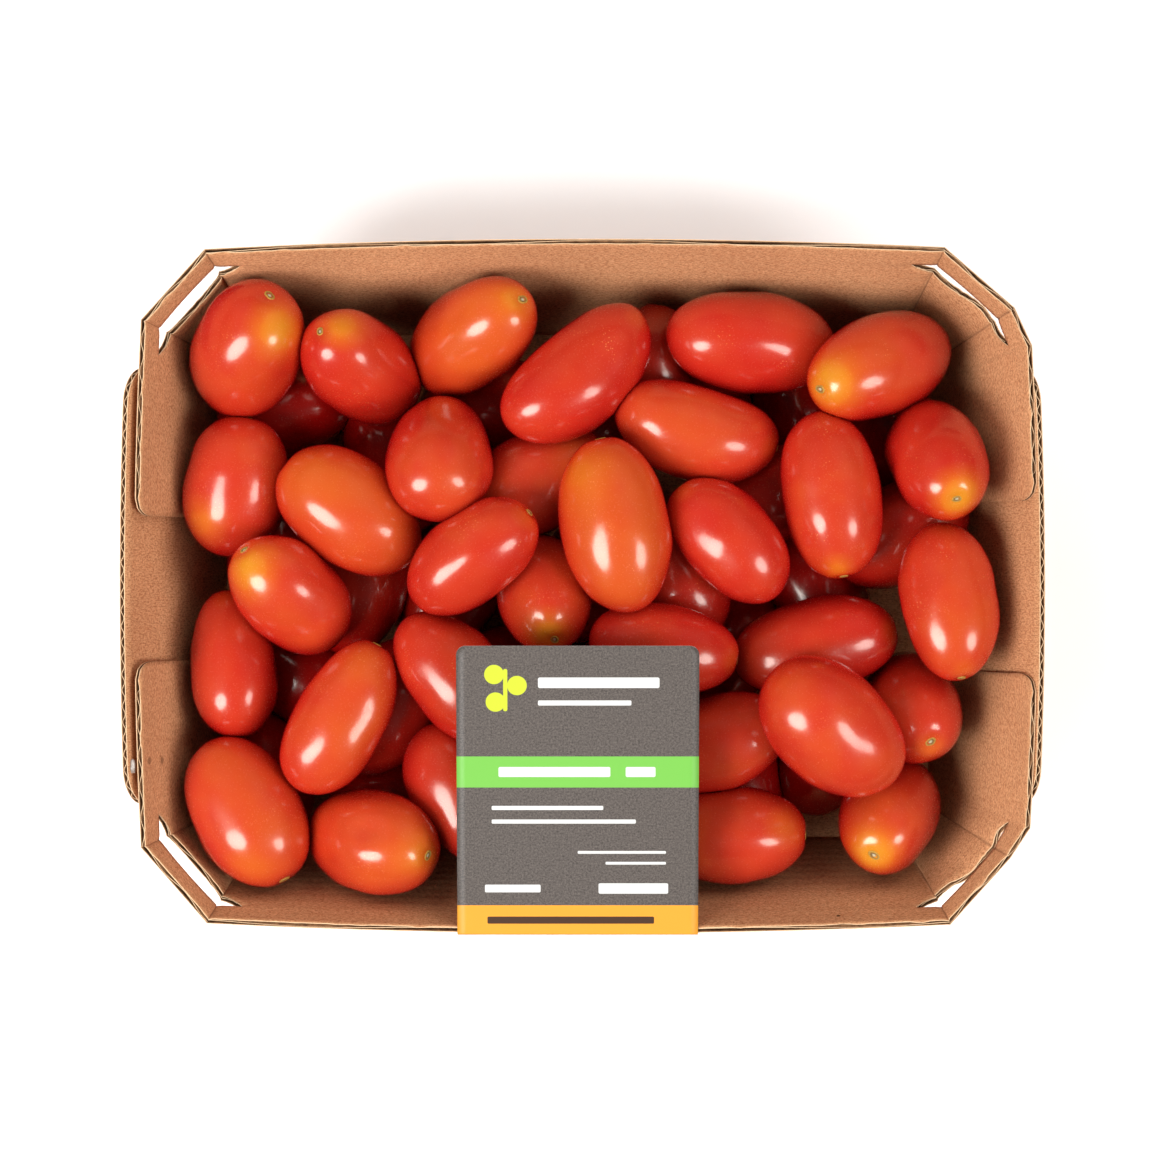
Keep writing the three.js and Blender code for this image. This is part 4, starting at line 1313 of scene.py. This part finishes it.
def make_card(middles):
    rows, reach = card_rows(middles)
    points, print_x, print_y = [], [], []
    for y, z, along, narrow in rows:
        for k in range(CARD_COLUMNS + 1):
            x = mix(-1, 1, k / CARD_COLUMNS) * (CARD_HALF - narrow)
            points.append((CARD_CENTRE + x, y, z))
            print_x.append(x)
            print_y.append(along)
    faces = []
    for i in range(len(rows) - 1):
        for k in range(CARD_COLUMNS):
            a = i * (CARD_COLUMNS + 1) + k
            b = a + CARD_COLUMNS + 1
            faces.append((a, a + 1, b + 1, b))
    mesh = mesh_from("printed_card", points, faces)
    set_attributes(mesh, print_x=print_x, print_y=print_y)
    mesh.materials.append(card_material(reach))
    mesh.materials.append(card_back_material())
    card = new_object("printed_card", mesh)
    solidify = card.modifiers.new("thick", "SOLIDIFY")
    solidify.thickness = (CARD_THICK - 0.03) * MM
    solidify.offset = 1
    solidify.use_even_offset = True
    solidify.material_offset_rim = 1
    apply_modifiers(card)
    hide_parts("card")
    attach(card, "root")


def card_back_material():
    n = Nodes("card_edge")
    grain = n.noise(n.position(), 900.0, 3.0)
    base = n.blend(n.remap(grain, 0.3, 0.7), srgb(188, 184, 178), srgb(214, 210, 204))
    return n.finish(base, 0.8)


# ---- floor, lights and camera ----

CAMERA_HEIGHT = 900.0  # above the rim
PHOTO_SIZE = 1161  # pixels
PIXELS_PER_MM = 4.625  # at the rim
PHOTO_ROW = 586  # of the tray's middle
SENSOR = 36  # width of the camera's sensor
FLOOR_HALF, FLOOR_Z = 1500.0, -0.05
ROOM_LIGHT = 0.16


def make_floor():
    corners = [(-1, -1), (1, -1), (1, 1), (-1, 1)]
    points = [(FLOOR_HALF * x, FLOOR_HALF * y, FLOOR_Z) for x, y in corners]
    mesh = mesh_from("floor", points, [(0, 1, 2, 3)])
    n = Nodes("pale_floor")
    grain = n.noise(n.position(), 60.0, 3.0)
    base = n.blend(n.remap(grain, 0.3, 0.7), (0.94, 0.94, 0.94), (0.96, 0.96, 0.96))
    # the floor glows faintly: painted light that lifts the shadow of the tray on it
    glow = {"Emission_Color": (1, 1, 1, 1), "Emission_Strength": 0.12}
    mesh.materials.append(n.finish(base, 0.9, Specular_IOR_Level=0.1, **glow))
    floor = new_object("floor", mesh)
    floor.visible_glossy = False  # the fruit mirror a dim room, not the white floor


def soft_box(name, azimuth, from_vertical, distance, size, watts, shows=True):
    """An oval light; azimuth 0 is in front of the tray, and positive is to the right. One that
    doesn't show leaves no highlight."""
    light = bpy.data.lights.new(name, "AREA")
    light.shape = "ELLIPSE"
    light.size, light.size_y = size
    light.energy = watts
    obj = bpy.data.objects.new(name, light)
    a, e = math.radians(azimuth), math.radians(from_vertical)
    obj.location = Vector((math.sin(a) * math.sin(e), -math.cos(a) * math.sin(e), math.cos(e))) * distance
    obj.rotation_euler = (-Vector(obj.location)).to_track_quat("-Z", "Y").to_euler()
    obj.visible_glossy = shows
    bpy.context.scene.collection.objects.link(obj)


def make_lights():
    soft_box("key", -61, 42, 1.3, (0.6, 0.78), 14.5)
    soft_box("second", 68, 47, 1.3, (0.42, 0.55), 5.5)
    soft_box("key_spill", -55, 46, 1.6, (1.5, 1.5), 8.2, shows=False)
    soft_box("second_spill", 58, 46, 1.6, (1.5, 1.5), 10.7, shows=False)
    soft_box("back_left_fill", -140, 52, 1.6, (1.3, 1.3), 8.2, shows=False)
    soft_box("back_right_fill", 140, 52, 1.6, (1.3, 1.3), 9.0, shows=False)
    world = bpy.data.worlds.new("studio")
    world.use_nodes = True
    background = world.node_tree.nodes["Background"]
    background.inputs["Color"].default_value = (1, 1, 1, 1)
    background.inputs["Strength"].default_value = ROOM_LIGHT
    world.cycles_visibility.glossy = False
    bpy.context.scene.world = world
    view = bpy.context.scene.view_settings
    view.view_transform = "Standard"
    view.look = "None"


def make_camera():
    data = bpy.data.cameras.new("camera")
    camera = bpy.data.objects.new("camera", data)
    off_centre = (PHOTO_ROW - PHOTO_SIZE / 2) / PIXELS_PER_MM
    camera.location = (0, off_centre * MM, (HEIGHT + CAMERA_HEIGHT) * MM)
    data.sensor_width = SENSOR
    data.lens = SENSOR * CAMERA_HEIGHT / (PHOTO_SIZE / PIXELS_PER_MM)
    data.clip_start, data.clip_end = 0.05, 20
    bpy.context.scene.collection.objects.link(camera)
    bpy.context.scene.camera = camera


make_camera()
make_lights()
make_floor()
MIDDLES = settle()
make_tray()
make_glue()
make_tomatoes(MIDDLES)
make_scars(MIDDLES)
make_card(MIDDLES)
